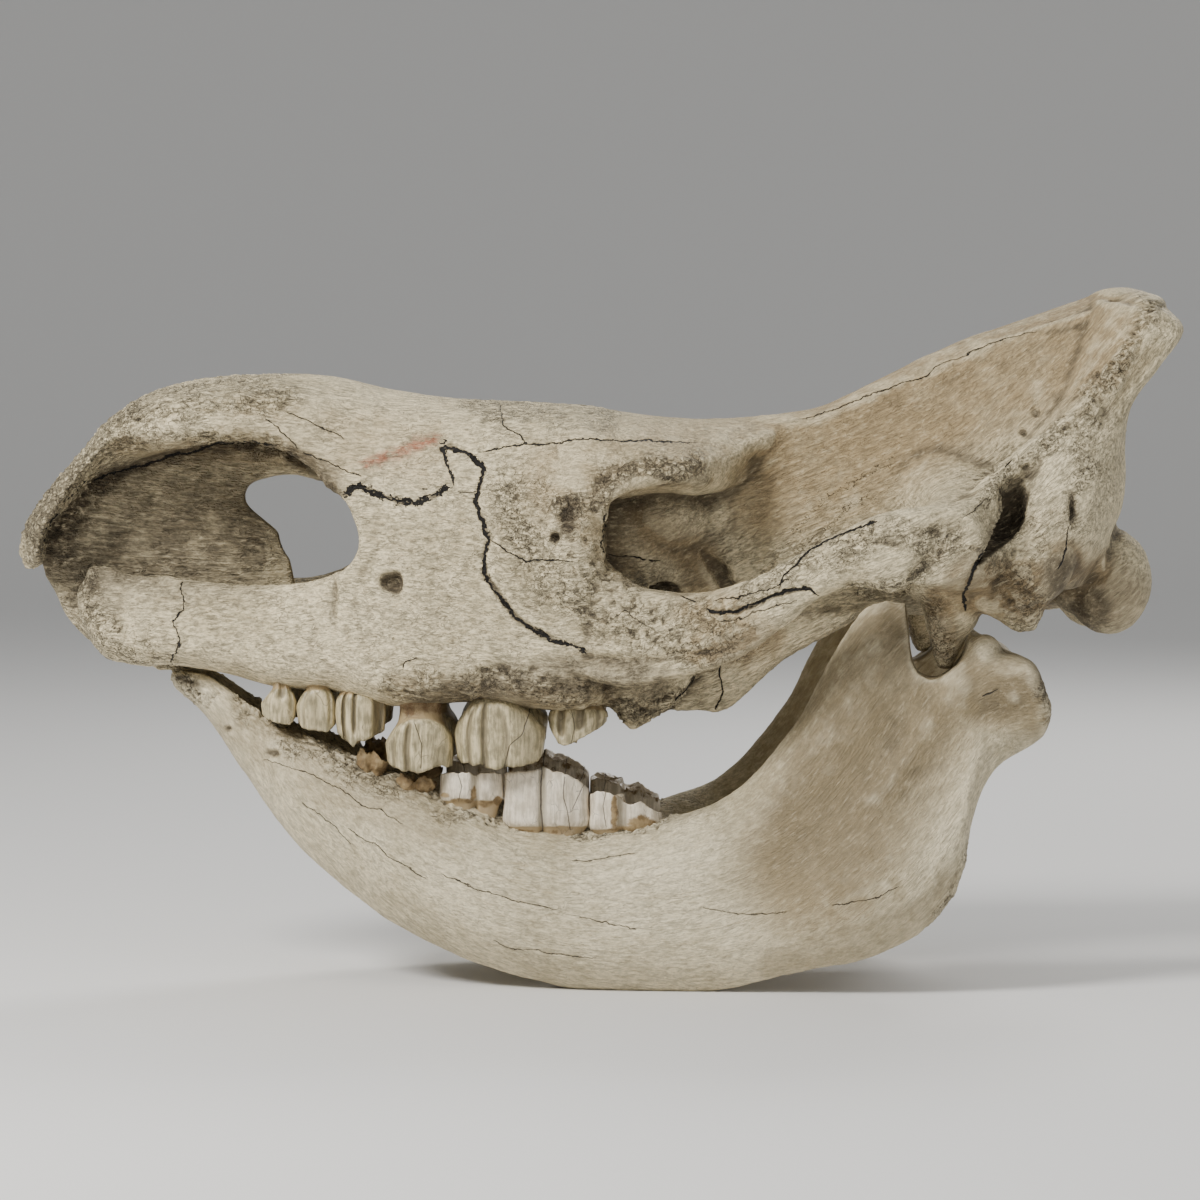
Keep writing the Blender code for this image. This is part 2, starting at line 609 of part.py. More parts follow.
def build_cranium(sockets):
    made = cranium_shells()
    add_remesh(made)
    hollows = as_helper(hollow_shells())
    add_remesh(hollows)
    hole = bmesh.new()
    plate(hole, NOSE_HOLE, NOSE_HOLE_DEPTH, NOSE_HOLE_REACH)
    hole = as_helper(object_from(hole, "nose_hole"))
    add_cut(made, hollows, "Hollows")
    add_cut(made, hole, "Nose hole")
    fused = settle(made, "cranium_fused")
    add_remesh(fused)
    add_smooth(fused, WEAR_TURNS)
    smooth = settle(fused, "cranium")
    thinned(smooth, CRANIUM_TRIANGLES)
    add_cut(smooth, sockets, "Sockets")
    return smooth


def jaw_branch(bm):
    """One branch of the lower jaw, from beside the chin back to the joint knob."""
    rings = []
    for u in JAW_STATIONS:
        upper, lower = height_at(JAW_TOP, u), height_at(JAW_BOTTOM, u)
        (wt, ht), (wm, hm), (wb, hb) = between(JAW_REACH, u)
        drop = lower - upper
        rim = min(JAW_RIM_SHARE * drop, JAW_RIM_MOST)
        half = [
            (upper, wt), (upper + rim, wt + ht), (upper + drop * 0.5, wm + hm), (lower - rim, wb + hb),
            (lower, wb), (lower - rim, wb - hb), (upper + drop * 0.5, wm - hm), (upper + rim, wt - ht),
        ]
        ring = curve_through(half, 3, cyclic=True)
        rings.append([spot(u, v, w) for v, w in ring])
    skin(bm, rings)


def build_jaw(sockets):
    bm = bmesh.new()
    jaw_branch(bm)
    for path in JAW_RIDGES:
        ridge(bm, path)
    lump(bm, *JAW_CONDYLE, turn=JAW_CONDYLE_TURN)
    lump(bm, *JAW_KNOB)
    add_right_side(bm)
    symmetric_shell(bm, CHIN)
    made = object_from(bm, "jaw_shells")
    add_remesh(made)
    add_smooth(made, WEAR_TURNS)
    smooth = settle(made, "mandible")
    thinned(smooth, JAW_TRIANGLES)
    floor = bmesh.new()
    matrix = Matrix.Translation((0, 0, -FLOOR_CUT_DEPTH / 2)) @ Matrix.Diagonal((1, 1, FLOOR_CUT_DEPTH, 1))
    bmesh.ops.create_cube(floor, size=1.0, matrix=matrix)
    floor = as_helper(object_from(floor, "floor_cut"))
    add_cut(smooth, floor, "Standing faces")
    add_cut(smooth, sockets, "Sockets")
    return smooth


def tooth_rings(tooth, upper, grow=0.0):
    """Level rings of a cheek tooth from its root to its biting edge, with outer ribs."""
    front, back, top, bottom, outer, inner = tooth
    extra = grow / PIXEL
    wide = grow / MM
    root, edge = (top - extra, bottom + extra) if upper else (bottom + extra, top - extra)
    middle_u, half_u = (front + back) / 2, (back - front) / 2 + extra
    middle_w, half_w = (outer + inner) / 2, (outer - inner) / 2 + wide
    rings = []
    for share, size, lean in TOOTH_LEVELS:
        v = root + (edge - root) * share
        ring = []
        for a, b in squircle(TOOTH_CORNERS, TOOTH_SQUARENESS):
            ring.append(spot(middle_u + half_u * size * a, v, middle_w + half_w * (size * b + lean)))
        rings.append(ring)
    return rings


def build_tooth(name, tooth, upper, finish):
    made = []
    for side in ("left", "right"):
        bm = bmesh.new()
        skin(bm, tooth_rings(tooth, upper))
        if side == "right":
            bmesh.ops.scale(bm, vec=(1, -1, 1), verts=bm.verts)
        piece = object_from(bm, f"{'upper' if upper else 'lower'}_{side}_{name}")
        piece.data.materials.append(finish)
        made.append(piece)
    return made


def socket_cutter(teeth, upper, name):
    """All sockets of one jaw: each tooth grown by the gap it keeps to the bone."""
    bm = bmesh.new()
    for tooth in teeth.values():
        skin(bm, tooth_rings(tooth, upper, SOCKET_GAP))
    add_right_side(bm)
    return as_helper(object_from(bm, name))


def shade(made):
    made.data.shade_smooth()
    made.data.set_sharp_from_angle(angle=SHARP_ANGLE)


def main():
    for old in list(bpy.data.objects):
        bpy.data.objects.remove(old)
    bone = finish_of("bone", *BONE)
    jaw_bone = finish_of("jaw_bone", *JAW_BONE)
    enamel = finish_of("enamel", *ENAMEL)
    lower_enamel = finish_of("lower_enamel", *LOWER_ENAMEL)
    cranium = build_cranium(socket_cutter(UPPER_TEETH, True, "upper_sockets"))
    cranium.data.materials.append(bone)
    jaw = build_jaw(socket_cutter(LOWER_TEETH, False, "lower_sockets"))
    jaw.data.materials.append(jaw_bone)
    for name, tooth in UPPER_TEETH.items():
        build_tooth(name, tooth, True, enamel)
    for name, tooth in LOWER_TEETH.items():
        build_tooth(name, tooth, False, lower_enamel)
    for made in (cranium, jaw):
        shade(made)


main()
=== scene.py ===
"""Looks of a fossil woolly rhinoceros skull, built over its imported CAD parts.

The snout points to -X, the animal's left side to -Y, and the jaw stands on the floor at Z = 0.
Side outlines are picture points (u across, v down) read on the left side. spot() turns one into
a place in the world, given how many millimetres from the mid-plane it lies.
"""

import math

import bmesh
import bpy
import numpy as np
from bpy.props import FloatProperty, FloatVectorProperty, IntProperty, PointerProperty
from bpy.types import Operator, Panel, PropertyGroup
from mathutils import Matrix, Vector, noise
from mathutils.bvhtree import BVHTree


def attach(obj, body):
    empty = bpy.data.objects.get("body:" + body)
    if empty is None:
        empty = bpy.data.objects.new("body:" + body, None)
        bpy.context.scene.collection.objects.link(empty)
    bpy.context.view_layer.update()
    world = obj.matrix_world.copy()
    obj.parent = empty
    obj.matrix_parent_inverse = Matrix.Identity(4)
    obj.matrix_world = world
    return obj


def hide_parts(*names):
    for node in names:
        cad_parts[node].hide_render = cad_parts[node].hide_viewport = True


bl_info = {
    "name": "Fossil rhinoceros skull",
    "version": (1, 0, 0),
    "blender": (4, 5, 0),
    "location": "3D View > Sidebar > Skull",
    "description": "Builds the looks of a fossil rhinoceros skull over its CAD parts",
    "category": "Add Mesh",
}

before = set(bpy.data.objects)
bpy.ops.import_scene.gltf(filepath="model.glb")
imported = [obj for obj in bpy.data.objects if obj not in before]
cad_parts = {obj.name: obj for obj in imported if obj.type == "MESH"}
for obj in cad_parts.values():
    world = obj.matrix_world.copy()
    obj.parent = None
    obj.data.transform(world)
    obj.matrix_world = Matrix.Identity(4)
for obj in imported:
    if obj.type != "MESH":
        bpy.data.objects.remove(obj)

MM = 0.001

# The side view that the outlines were read in
PIXEL = 0.67 * MM
VIEW_MIDDLE = 600.0
VIEW_DISTANCE = 3000 * MM
VIEW_TILT = math.radians(2.5)
VIEW_HEIGHT = 382.4 * MM
CENTRE_SHIFT = -4.85 * MM

# Rounded squares that the slabs and lobes are made of
RING_POINTS = 40
RING_SQUARENESS = 2.6

# Sizes of the swings of a bone's surface and of the borders of its rough patches
UNEVEN_SIZE = 24 * MM
WANDER_SIZE = 22 * MM
WANDER_APART = Vector((31, 0, 0))
# In millimetres: what stands for no seam at all, and how far off a seam is known and drawn
FAR_OFF = 20.0
NO_SEAM = -2.0
SEAM_KNOWN = 12
SEAM_DRAWN = 6
# Points of a path that the fibres of a bone follow, to each of its spans
FIBRE_STEPS = 22
# How far above the surface a ray that looks past it starts, in millimetres, and its reach in metres
RAY_START = 0.4
RAY_REACH = 0.5
# How steeply a swelling falls off from its middle
FALL_OFF = 1.5
# Where the back of the head begins along X, in metres
NAPE_FROM = 0.25
# Turns of smoothing that wear down the fused bones
SKULL_WEAR = 5
JAW_WEAR = 14

# Half rings run from the top of the mid-line round the left side to its underside, as (u, v, w)
NASAL_ROOF = [
    [(19, 552, 0), (20, 556, 7), (23, 563, 11), (28, 571, 11), (33, 569, 7), (33, 562, 4), (32, 556, 0)],
    [(22, 533, 0), (24, 538, 14), (28, 548, 24), (36, 562, 27),
     (43, 560, 20), (43, 550, 12), (41, 543, 0)],
    [(32, 512, 0), (34, 516, 22), (37, 523, 38), (42, 531, 43),
     (46, 532, 34), (49, 527, 20), (50, 524, 0)],
    [(50, 488, 0), (52, 491, 28), (54, 497, 46), (58, 505, 52),
     (63, 506, 42), (68, 504, 24), (70, 503, 0)],
    [(80, 453, 0), (81, 455, 34), (83, 459, 56), (85, 466, 62),
     (88, 470, 52), (94, 475, 30), (96, 478, 0)],
    [(115, 415, 0), (115, 419, 38), (115, 426, 64), (116, 435, 71),
     (119, 442, 62), (124, 458, 36), (125, 468, 0)],
    [(155, 391, 0), (155, 395, 42), (155, 407, 70), (155, 440, 80),
     (157, 448, 70), (158, 450, 40), (158, 457, 0)],
    [(205, 379, 0), (205, 384, 44), (205, 397, 72), (204, 434, 83),
     (205, 443, 74), (205, 440, 44), (205, 444, 0)],
    [(255, 375, 0), (255, 380, 42), (255, 394, 70), (255, 434, 82),
     (256, 443, 73), (256, 436, 44), (256, 438, 0)],
    [(305, 374, 0), (305, 379, 40), (305, 394, 66), (303, 448, 80),
     (303, 462, 70), (304, 450, 44), (305, 440, 0)],
    [(345, 379, 0), (345, 384, 38), (345, 400, 62), (342, 470, 79),
     (343, 498, 72), (345, 490, 44), (345, 480, 0)],
    [(375, 386, 0), (375, 391, 38), (375, 405, 62), (372, 465, 78),
     (373, 500, 70), (375, 490, 44), (375, 480, 0)],
]
SNOUT_FLOOR = [
    [(80, 616, 0), (79, 592, 14), (78, 588, 24), (77, 604, 31),
     (80, 618, 27), (82, 624, 16), (83, 624, 0)],
    [(100, 612, 0), (98, 572, 18), (97, 566, 27), (97, 600, 38),
     (99, 646, 34), (103, 655, 18), (105, 653, 0)],
    [(130, 618, 0), (130, 580, 22), (130, 574, 32), (130, 610, 44),
     (130, 655, 40), (130, 664, 22), (130, 655, 0)],
    [(180, 620, 0), (180, 586, 27), (180, 578, 38), (180, 615, 51),
     (180, 658, 47), (180, 666, 26), (180, 652, 0)],
    [(230, 622, 0), (230, 592, 32), (230, 584, 44), (230, 620, 58),
     (230, 665, 54), (230, 675, 32), (230, 656, 0)],
    [(280, 624, 0), (280, 594, 38), (280, 585, 50), (280, 622, 66),
     (280, 678, 63), (280, 688, 36), (280, 662, 0)],
    [(330, 624, 0), (330, 590, 44), (330, 577, 58), (330, 615, 74),
     (330, 680, 72), (330, 692, 38), (330, 666, 0)],
    [(380, 624, 0), (380, 570, 48), (380, 545, 62), (380, 610, 82),
     (380, 688, 82), (380, 701, 40), (380, 670, 0)],
]

# Half rings that stand upright across the skull, as u: (v, w) from the top to the underside
FACE = {
    338: [(378, 0), (384, 36), (400, 60), (445, 76), (530, 79),
          (610, 78), (685, 70), (694, 36), (666, 0)],
    400: [(391, 0), (396, 38), (412, 66), (450, 82), (530, 88),
          (615, 90), (698, 88), (705, 40), (670, 0)],
    465: [(399, 0), (403, 42), (418, 76), (458, 95), (530, 100),
          (620, 102), (692, 98), (700, 42), (667, 0)],
    530: [(402, 0), (407, 50), (423, 90), (462, 110), (530, 114),
          (610, 114), (700, 100), (706, 44), (665, 0)],
    585: [(406, 0), (411, 58), (430, 104), (470, 121), (530, 124),
          (605, 122), (705, 94), (706, 44), (664, 0)],
    604: [(408, 0), (413, 58), (434, 104), (474, 119), (530, 116),
          (600, 116), (700, 88), (702, 46), (664, 0)],
}
FOREHEAD = {
    560: [(404, 0), (409, 56), (428, 100), (466, 117), (486, 108), (495, 60), (495, 0)],
    610: [(410, 0), (415, 60), (438, 106), (474, 122), (492, 112), (500, 62), (500, 0)],
    660: [(417, 0), (421, 58), (443, 102), (468, 119), (484, 108), (495, 60), (500, 0)],
    700: [(419, 0), (423, 52), (440, 84), (472, 108), (489, 98), (495, 54), (500, 0)],
    722: [(419, 0), (422, 44), (437, 74), (470, 92), (486, 80), (492, 50), (500, 0)],
    745: [(418, 0), (421, 38), (431, 58), (449, 73), (466, 62), (485, 48), (500, 0)],
    770: [(417, 0), (420, 34), (427, 46), (438, 55), (452, 51), (472, 44), (500, 0)],
    795: [(413, 0), (416, 30), (421, 37), (428, 42), (440, 41), (460, 40), (500, 0)],
}
BRAINCASE = {
    560: [(430, 0), (440, 50), (450, 68), (480, 74), (540, 76), (600, 72), (655, 50), (650, 0)],
    640: [(430, 0), (440, 50), (450, 62), (480, 66), (530, 72), (590, 68), (650, 45), (645, 0)],
    700: [(420, 0), (430, 44), (446, 54), (480, 56), (530, 55), (590, 52), (640, 38), (632, 0)],
    760: [(417, 0), (424, 44), (440, 52), (480, 55), (530, 56), (585, 52), (625, 34), (622, 0)],
    820: [(408, 0), (414, 42), (432, 48), (470, 56), (520, 62), (575, 60), (615, 34), (618, 0)],
    880: [(379, 0), (389, 38), (408, 43), (455, 56), (510, 68), (565, 66), (608, 36), (616, 0)],
    940: [(349, 0), (364, 35), (385, 42), (440, 60), (500, 76), (560, 72), (604, 38), (614, 0)],
    1000: [(327, 0), (341, 36), (362, 46), (420, 70), (490, 88), (560, 80), (602, 40), (612, 0)],
    1060: [(306, 0), (325, 42), (345, 56), (400, 84), (480, 98), (560, 84), (600, 42), (608, 0)],
    1105: [(291, 0), (314, 52), (335, 66), (390, 92), (480, 100), (560, 80), (596, 40), (602, 0)],
}

# Level half rings of the back of the head, from its front to its back, as (u, v, w)
OCCIPUT = [
    [(1095, 296, 0), (1100, 300, 45), (1128, 306, 76), (1166, 309, 72), (1156, 301, 40), (1143, 294, 0)],
    [(1080, 322, 0), (1085, 325, 50), (1125, 328, 88), (1184, 328, 84), (1166, 325, 45), (1150, 322, 0)],
    [(1065, 355, 0), (1070, 358, 60), (1100, 362, 94), (1160, 364, 92), (1153, 360, 50), (1140, 358, 0)],
    [(1050, 400, 0), (1050, 400, 70), (1080, 402, 102), (1128, 402, 98), (1134, 400, 52), (1128, 400, 0)],
    [(1030, 450, 0), (1020, 450, 80), (1040, 450, 112),
     (1112, 452, 106), (1127, 450, 55), (1122, 450, 0)],
    [(1010, 500, 0), (1000, 500, 85), (1020, 500, 120),
     (1105, 502, 116), (1123, 500, 58), (1115, 500, 0)],
    [(1000, 545, 0), (1000, 545, 85), (1030, 545, 128),
     (1085, 548, 122), (1110, 545, 60), (1106, 540, 0)],
    [(1000, 580, 0), (1005, 585, 60), (1040, 588, 100), (1070, 590, 96), (1085, 585, 50), (1090, 580, 0)],
]

# Closed rings that lie level, as v: (front u, back u, inner w, outer w)
EAR_LOBE = {
    500: (1012, 1078, 85, 120),
    540: (988, 1084, 92, 132),
    565: (968, 1076, 96, 137),
    590: (963, 1064, 98, 138),
    606: (970, 1046, 102, 136),
    620: (998, 1040, 104, 130),
    631: (1014, 1036, 110, 124),
}
JAW_STOP = {
    565: (900, 985, 85, 150),
    590: (905, 985, 88, 142),
    605: (922, 981, 87, 130),
    622: (925, 977, 87, 124),
    640: (930, 966, 88, 116),
    656: (934, 957, 91, 112),
    669: (939, 951, 97, 107),
}

# Closed rings across the root of the cheek arch, as w: (front u, back u, top v, bottom v)
ARCH_ROOT = {
    50: (872, 1068, 432, 600),
    65: (890, 1062, 450, 600),
    84: (912, 1052, 468, 598),
    115: (920, 1033, 487, 595),
    145: (905, 1000, 502, 591),
    164: (875, 982, 509, 585),
}

# Upper and lower outlines, and how far out each stretch lies, as u: (outer w, inner w)
ARCH_TOP = [
    (540, 560), (600, 558), (615, 570), (632, 583), (660, 591), (700, 593), (740, 585), (780, 566),
    (820, 543), (860, 522), (900, 509), (940, 505), (965, 499), (1000, 478),
]
ARCH_BOTTOM = [
    (540, 645), (560, 655), (600, 679), (640, 676), (680, 671), (720, 661), (755, 645), (780, 627),
    (800, 612), (822, 597), (850, 587), (872, 587), (895, 595), (907, 588), (918, 570), (945, 557),
    (965, 551), (1000, 545),
]
ARCH_REACH = {
    540: (110, 60), 600: (123, 64), 640: (131, 92), 700: (142, 114), 760: (153, 130), 820: (164, 143),
    880: (172, 148), 920: (170, 140), 960: (160, 122), 1000: (142, 100),
}
ARCH_STATIONS = range(540, 1001, 20)

PALATE_EDGE_TOP = [(600, 610), (700, 600), (872, 585)]
PTERYGOID_BOTTOM = [
    (600, 700), (668, 711), (700, 712), (727, 711), (745, 697), (775, 668), (800, 651), (830, 635),
    (855, 620), (872, 600),
]
PTERYGOID_REACH = {600: (46, 30), 668: (44, 31), 727: (42, 32), 800: (40, 31), 872: (38, 30)}
PTERYGOID_STATIONS = (600, 640, 668, 700, 727, 745, 760, 775, 800, 830, 855, 872)

TUBEROSITY_TOP = [(590, 620), (700, 620)]
TUBEROSITY_BOTTOM = [
    (590, 706), (615, 708), (622, 722), (632, 731), (645, 724), (660, 713), (680, 700), (697, 672),
]
TUBEROSITY_REACH = {590: (95, 40), 632: (84, 42), 660: (72, 42), 697: (62, 44)}
TUBEROSITY_STATIONS = (590, 605, 618, 632, 645, 660, 680, 697)

# The plate between the two sides of the nose, and the gap right through behind it, in millimetres
SEPTUM_HALF = 6.5
NOSE_HOLE_DEPTH = 76
NOSE_HOLE_REACH = 130
SEPTUM = [
    (42, 553), (47, 540), (65, 515), (95, 470), (130, 440), (200, 405), (345, 405), (345, 484),
    (300, 476), (268, 478), (247, 487), (245, 500), (262, 518), (284, 540), (291, 562), (292, 640),
    (90, 640), (72, 622), (58, 597),
]
NOSE_HOLE = [
    (262, 479), (297, 478), (318, 490), (341, 496), (351, 512), (359, 535), (359, 549), (350, 567),
    (322, 577), (292, 584), (291, 566), (284, 540), (268, 521), (247, 504), (245, 490),
]

# Ridges laid on the bone, as (u, v, w, radius in millimetres)
NECK_CREST = [
    (1160, 316, 76, 8), (1150, 334, 86, 9), (1125, 362, 93, 10), (1095, 402, 99, 10),
    (1065, 433, 104, 10), (1025, 460, 111, 9), (985, 494, 124, 8), (960, 512, 136, 5),
]
TEMPORAL_CREST = [
    (770, 434, 46, 2), (800, 424, 41, 3), (860, 402, 35, 4), (915, 382, 31, 4), (980, 351, 32, 4),
    (1040, 333, 37, 5),
    (1110, 315, 54, 6), (1144, 311, 71, 6),
]
BROW = [
    (602, 520, 115, 5), (602, 500, 118, 6), (617, 486, 120, 7), (645, 477, 118, 7), (680, 474, 110, 7),
    (706, 480, 98, 6),
]
CHEEK_CREST = [
    (540, 640, 104, 5), (575, 664, 112, 7), (620, 675, 122, 8), (680, 667, 133, 7), (735, 652, 142, 5),
    (775, 629, 149, 3), (800, 612, 153, 2),
]
TEAR_BONE = [(572, 488, 116, 6), (574, 510, 119, 8), (585, 530, 120, 7)]

# Knuckles and hollows, as (u, v, w), then half sizes along X, Y and Z in millimetres
KNUCKLE = ((1108, 580, 43), (29, 26, 36))
KNUCKLE_NECK = ((1080, 572, 40), (26, 24, 28))
CREST_TOP = [((1120, 301, 0), (22, 46, 9)), ((1142, 306, 40), (16, 34, 9))]
HOLLOWS = [
    ((350, 532, 0), (48, 56, 33)),
    ((420, 552, 0), (55, 42, 34)),
    ((387, 583, 98), (11, 18, 9)),
    ((1150, 545, 0), (70, 24, 21)),
    ((650, 648, 0), (60, 26, 18)),
]
CLEFTS = [
    [
        (1028, 470, 124, 2), (1019, 490, 121, 6), (1007, 515, 122, 11), (995, 536, 138, 9),
        (983, 554, 156, 4), (973, 571, 163, 2.6), (967, 588, 152, 2.2), (965, 600, 140, 2),
    ],
    [(692, 536, 64, 1.5), (702, 550, 58, 4), (714, 566, 54, 6), (724, 580, 53, 7), (734, 598, 53, 6)],
    [(612, 574, 66, 2), (632, 582, 60, 5), (654, 588, 58, 7), (680, 594, 58, 5), (696, 600, 58, 3)],
]
ORBIT_WALL = [((652, 514, 18), (50, 54, 42))]

# Lower jaw: outlines in the side view, then the half rings of the chin and the reach of each branch
JAW_TOP = [
    (252, 712), (280, 727), (310, 736), (345, 750), (380, 768), (410, 778), (450, 796), (480, 806),
    (510, 821), (540, 826), (590, 831), (615, 826), (645, 823), (672, 817), (700, 803), (722, 799),
    (750, 777), (780, 742), (800, 715), (818, 680), (835, 648), (852, 622), (866, 606), (880, 600),
    (900, 601), (940, 618), (965, 632), (976, 635), (990, 635), (1003, 648), (1020, 655), (1035, 664),
    (1046, 693), (1051, 712),
]
JAW_BOTTOM = [
    (252, 775), (280, 822), (300, 847), (320, 866), (340, 884), (380, 915), (420, 938), (460, 957),
    (500, 971), (540, 982), (570, 989), (600, 992), (640, 993.5), (680, 993.5), (715, 992), (745, 986),
    (785, 976), (820, 969), (860, 962), (890, 950), (920, 934), (940, 913), (957, 887), (968, 858),
    (970, 828), (980, 800), (992, 775), (1010, 758), (1030, 747), (1046, 732), (1051, 716),
]
# u: (middle w, half thickness) at the upper edge, half way down and at the lower edge
JAW_REACH = {
    252: ((24, 6), (26, 8), (20, 5)),
    280: ((32, 16), (34, 20), (26, 14)),
    340: ((44, 18), (46, 24), (36, 16)),
    400: ((54, 19), (62, 25), (54, 18)),
    480: ((60, 21), (70, 28), (68, 20)),
    560: ((62, 22), (74, 29), (76, 20)),
    640: ((66, 22), (80, 29), (82, 19)),
    700: ((78, 17), (84, 28), (88, 15)),
    760: ((88, 11), (90, 22), (98, 13)),
    820: ((92, 8), (98, 15), (108, 13)),
    880: ((98, 7), (104, 11), (113, 13)),
    935: ((104, 8), (108, 11), (114, 12)),
    960: ((106, 13), (110, 14), (114, 11)),
    985: ((108, 20), (110, 18), (112, 10)),
    1015: ((105, 32), (105, 26), (110, 12)),
    1038: ((104, 38), (104, 34), (106, 18)),
    1051: ((104, 30), (104, 30), (104, 26)),
}
JAW_STATIONS = (
    252, 265, 280, 310, 345, 380, 410, 450, 480, 510, 540, 570, 600, 640, 680, 722, 750, 780, 800, 818, 835,
    852, 866, 880, 900, 920, 940, 960, 976, 990, 1003, 1020, 1035, 1046, 1051,
)
JAW_NOTCH_DEPTH = 108
JAW_NOTCH_REACH = 160
JAW_NOTCH = [
    (905, 560), (907, 598), (910, 630), (912, 657), (920, 673), (933, 678), (950, 671), (961, 659),
    (966, 644), (972, 630), (980, 560),
]
CHIN = [
    [(171, 673, 0), (171, 670, 16), (171, 676, 22), (172, 683, 16), (172, 685, 0)],
    [(205, 688, 0), (205, 674, 26), (205, 692, 34), (205, 712, 20), (205, 715, 0)],
    [(240, 722, 0), (240, 696, 30), (240, 730, 38), (240, 762, 22), (240, 766, 0)],
    [(290, 765, 0), (290, 731, 34), (290, 785, 44), (290, 832, 24), (290, 836, 0)],
    [(330, 810, 0), (330, 745, 46), (330, 810, 55), (330, 872, 26), (330, 874, 0)],
    [(354, 848, 0), (354, 756, 50), (354, 830, 58), (354, 890, 34), (354, 884, 0)],
]
# The rounding of a branch's rims, as a share of its height and at most so many picture points
JAW_RIM_SHARE = 0.12
JAW_RIM_MOST = 18
JAW_CONDYLE = ((1012, 690, 96), (18, 42, 18))
JAW_CONDYLE_TURN = math.radians(25)
JAW_KNOB = ((985, 657, 114), (12, 20, 15))
JAW_RIDGES = [[(905, 930, 117, 4), (945, 893, 118, 6), (962, 850, 116, 4)]]
FLOOR_CUT_DEPTH = 30 * MM

# The lines that the fibres of the bones follow
SKULL_FIBRES = [
    (20, 596), (150, 606), (300, 612), (450, 622), (570, 630), (660, 622), (740, 592), (820, 556),
    (900, 525), (980, 485), (1060, 420), (1150, 320),
]
JAW_FIBRES = [
    (160, 668), (230, 740), (300, 810), (380, 866), (460, 905), (540, 925), (640, 930), (740, 912),
    (820, 870), (880, 810), (930, 740), (970, 690), (1050, 660),
]


# The two bold sutures of the face, which are both drawn and sunk
NOSE_SUTURE = [
    (342, 497), (347, 493), (353, 489), (360, 487), (366, 490), (375, 493), (385, 497), (395, 501),
    (405, 503), (415, 503), (425, 500), (433, 496), (440, 492), (447, 489), (453, 486),
]
FACE_SUTURE = [
    (453, 486), (455, 478), (449, 470), (445, 458), (443, 448), (450, 447), (470, 454), (481, 465),
    (484, 470), (480, 485), (475, 502), (482, 520), (489, 538), (484, 555), (485, 575), (500, 597),
    (515, 617), (535, 631), (557, 642), (578, 647), (590, 655),
]
# Dents (negative) and swellings of the bone, as (u, v, half width, half height, height in millimetres)
SKULL_SWELLINGS = [
    (497, 672, 22, 12, -3.0), (566, 690, 26, 11, -3.0), (434, 684, 16, 12, 2.2), (470, 684, 12, 12, 1.6),
    (525, 684, 16, 12, 2.0), (408, 690, 12, 12, -1.6), (360, 672, 12, 16, 1.4), (317, 670, 12, 14, 1.2),
    (575, 514, 15, 17, -3.2), (553, 512, 9, 16, 1.8), (554, 538, 6, 6, -4.5), (585, 548, 18, 12, 1.5),
    (397, 584, 6, 18, -2.6), (378, 585, 10, 24, 0.9), (440, 470, 30, 14, 0.8), (655, 628, 60, 14, 1.5),
    (700, 458, 20, 10, 1.2), (168, 576, 9, 8, 2.0), (94, 572, 14, 9, 2.2), (132, 582, 9, 7, -1.4),
    (110, 640, 14, 10, 1.6), (1073, 507, 4, 16, -4.0), (1035, 413, 5, 5, -3.0), (1023, 433, 4, 4, -2.6),
    (1018, 562, 16, 20, 2.0), (1004, 600, 14, 18, -1.4), (150, 615, 30, 22, 1.0), (245, 620, 40, 20, -0.8),
    (640, 712, 14, 14, -3.5), (890, 545, 30, 9, -1.6), (935, 520, 26, 8, 1.6), (860, 548, 24, 8, 1.0),
    (1100, 440, 24, 50, -2.0), (940, 640, 10, 24, 1.0), (215, 420, 60, 14, 0.8), (120, 600, 12, 20, -0.8),
    (655, 522, 26, 20, 2.0), (567, 515, 8, 19, -3.2), (554, 538, 4.5, 4.5, -3.0),
    (768, 450, 15, 26, 2.6),
]
JAW_SWELLINGS = [
    (273, 753, 7, 4, -3.6), (228, 729, 4, 3, -2.6), (188, 681, 9, 5, -3.0), (470, 815, 16, 12, 1.2),
    (545, 838, 16, 12, 1.0), (600, 842, 16, 10, 1.0), (900, 730, 40, 60, -1.6), (880, 860, 40, 50, -1.2),
    (1005, 650, 14, 7, -1.6), (985, 720, 14, 24, -1.2), (930, 700, 14, 22, -1.6), (690, 880, 120, 46, 1.0),
]

# Dents and swellings of the back of the head, as (side, height, half width, half height, rise) in millimetres
NAPE_SWELLINGS = [
    (44, 376, 26, 42, -5.0), (0, 372, 7, 62, 2.2), (0, 316, 11, 13, -3.2), (80, 325, 20, 40, 2.2),
    (0, 440, 62, 7, 2.6), (98, 396, 11, 46, 2.4), (60, 300, 26, 10, -2.4), (26, 300, 10, 16, 1.6),
]
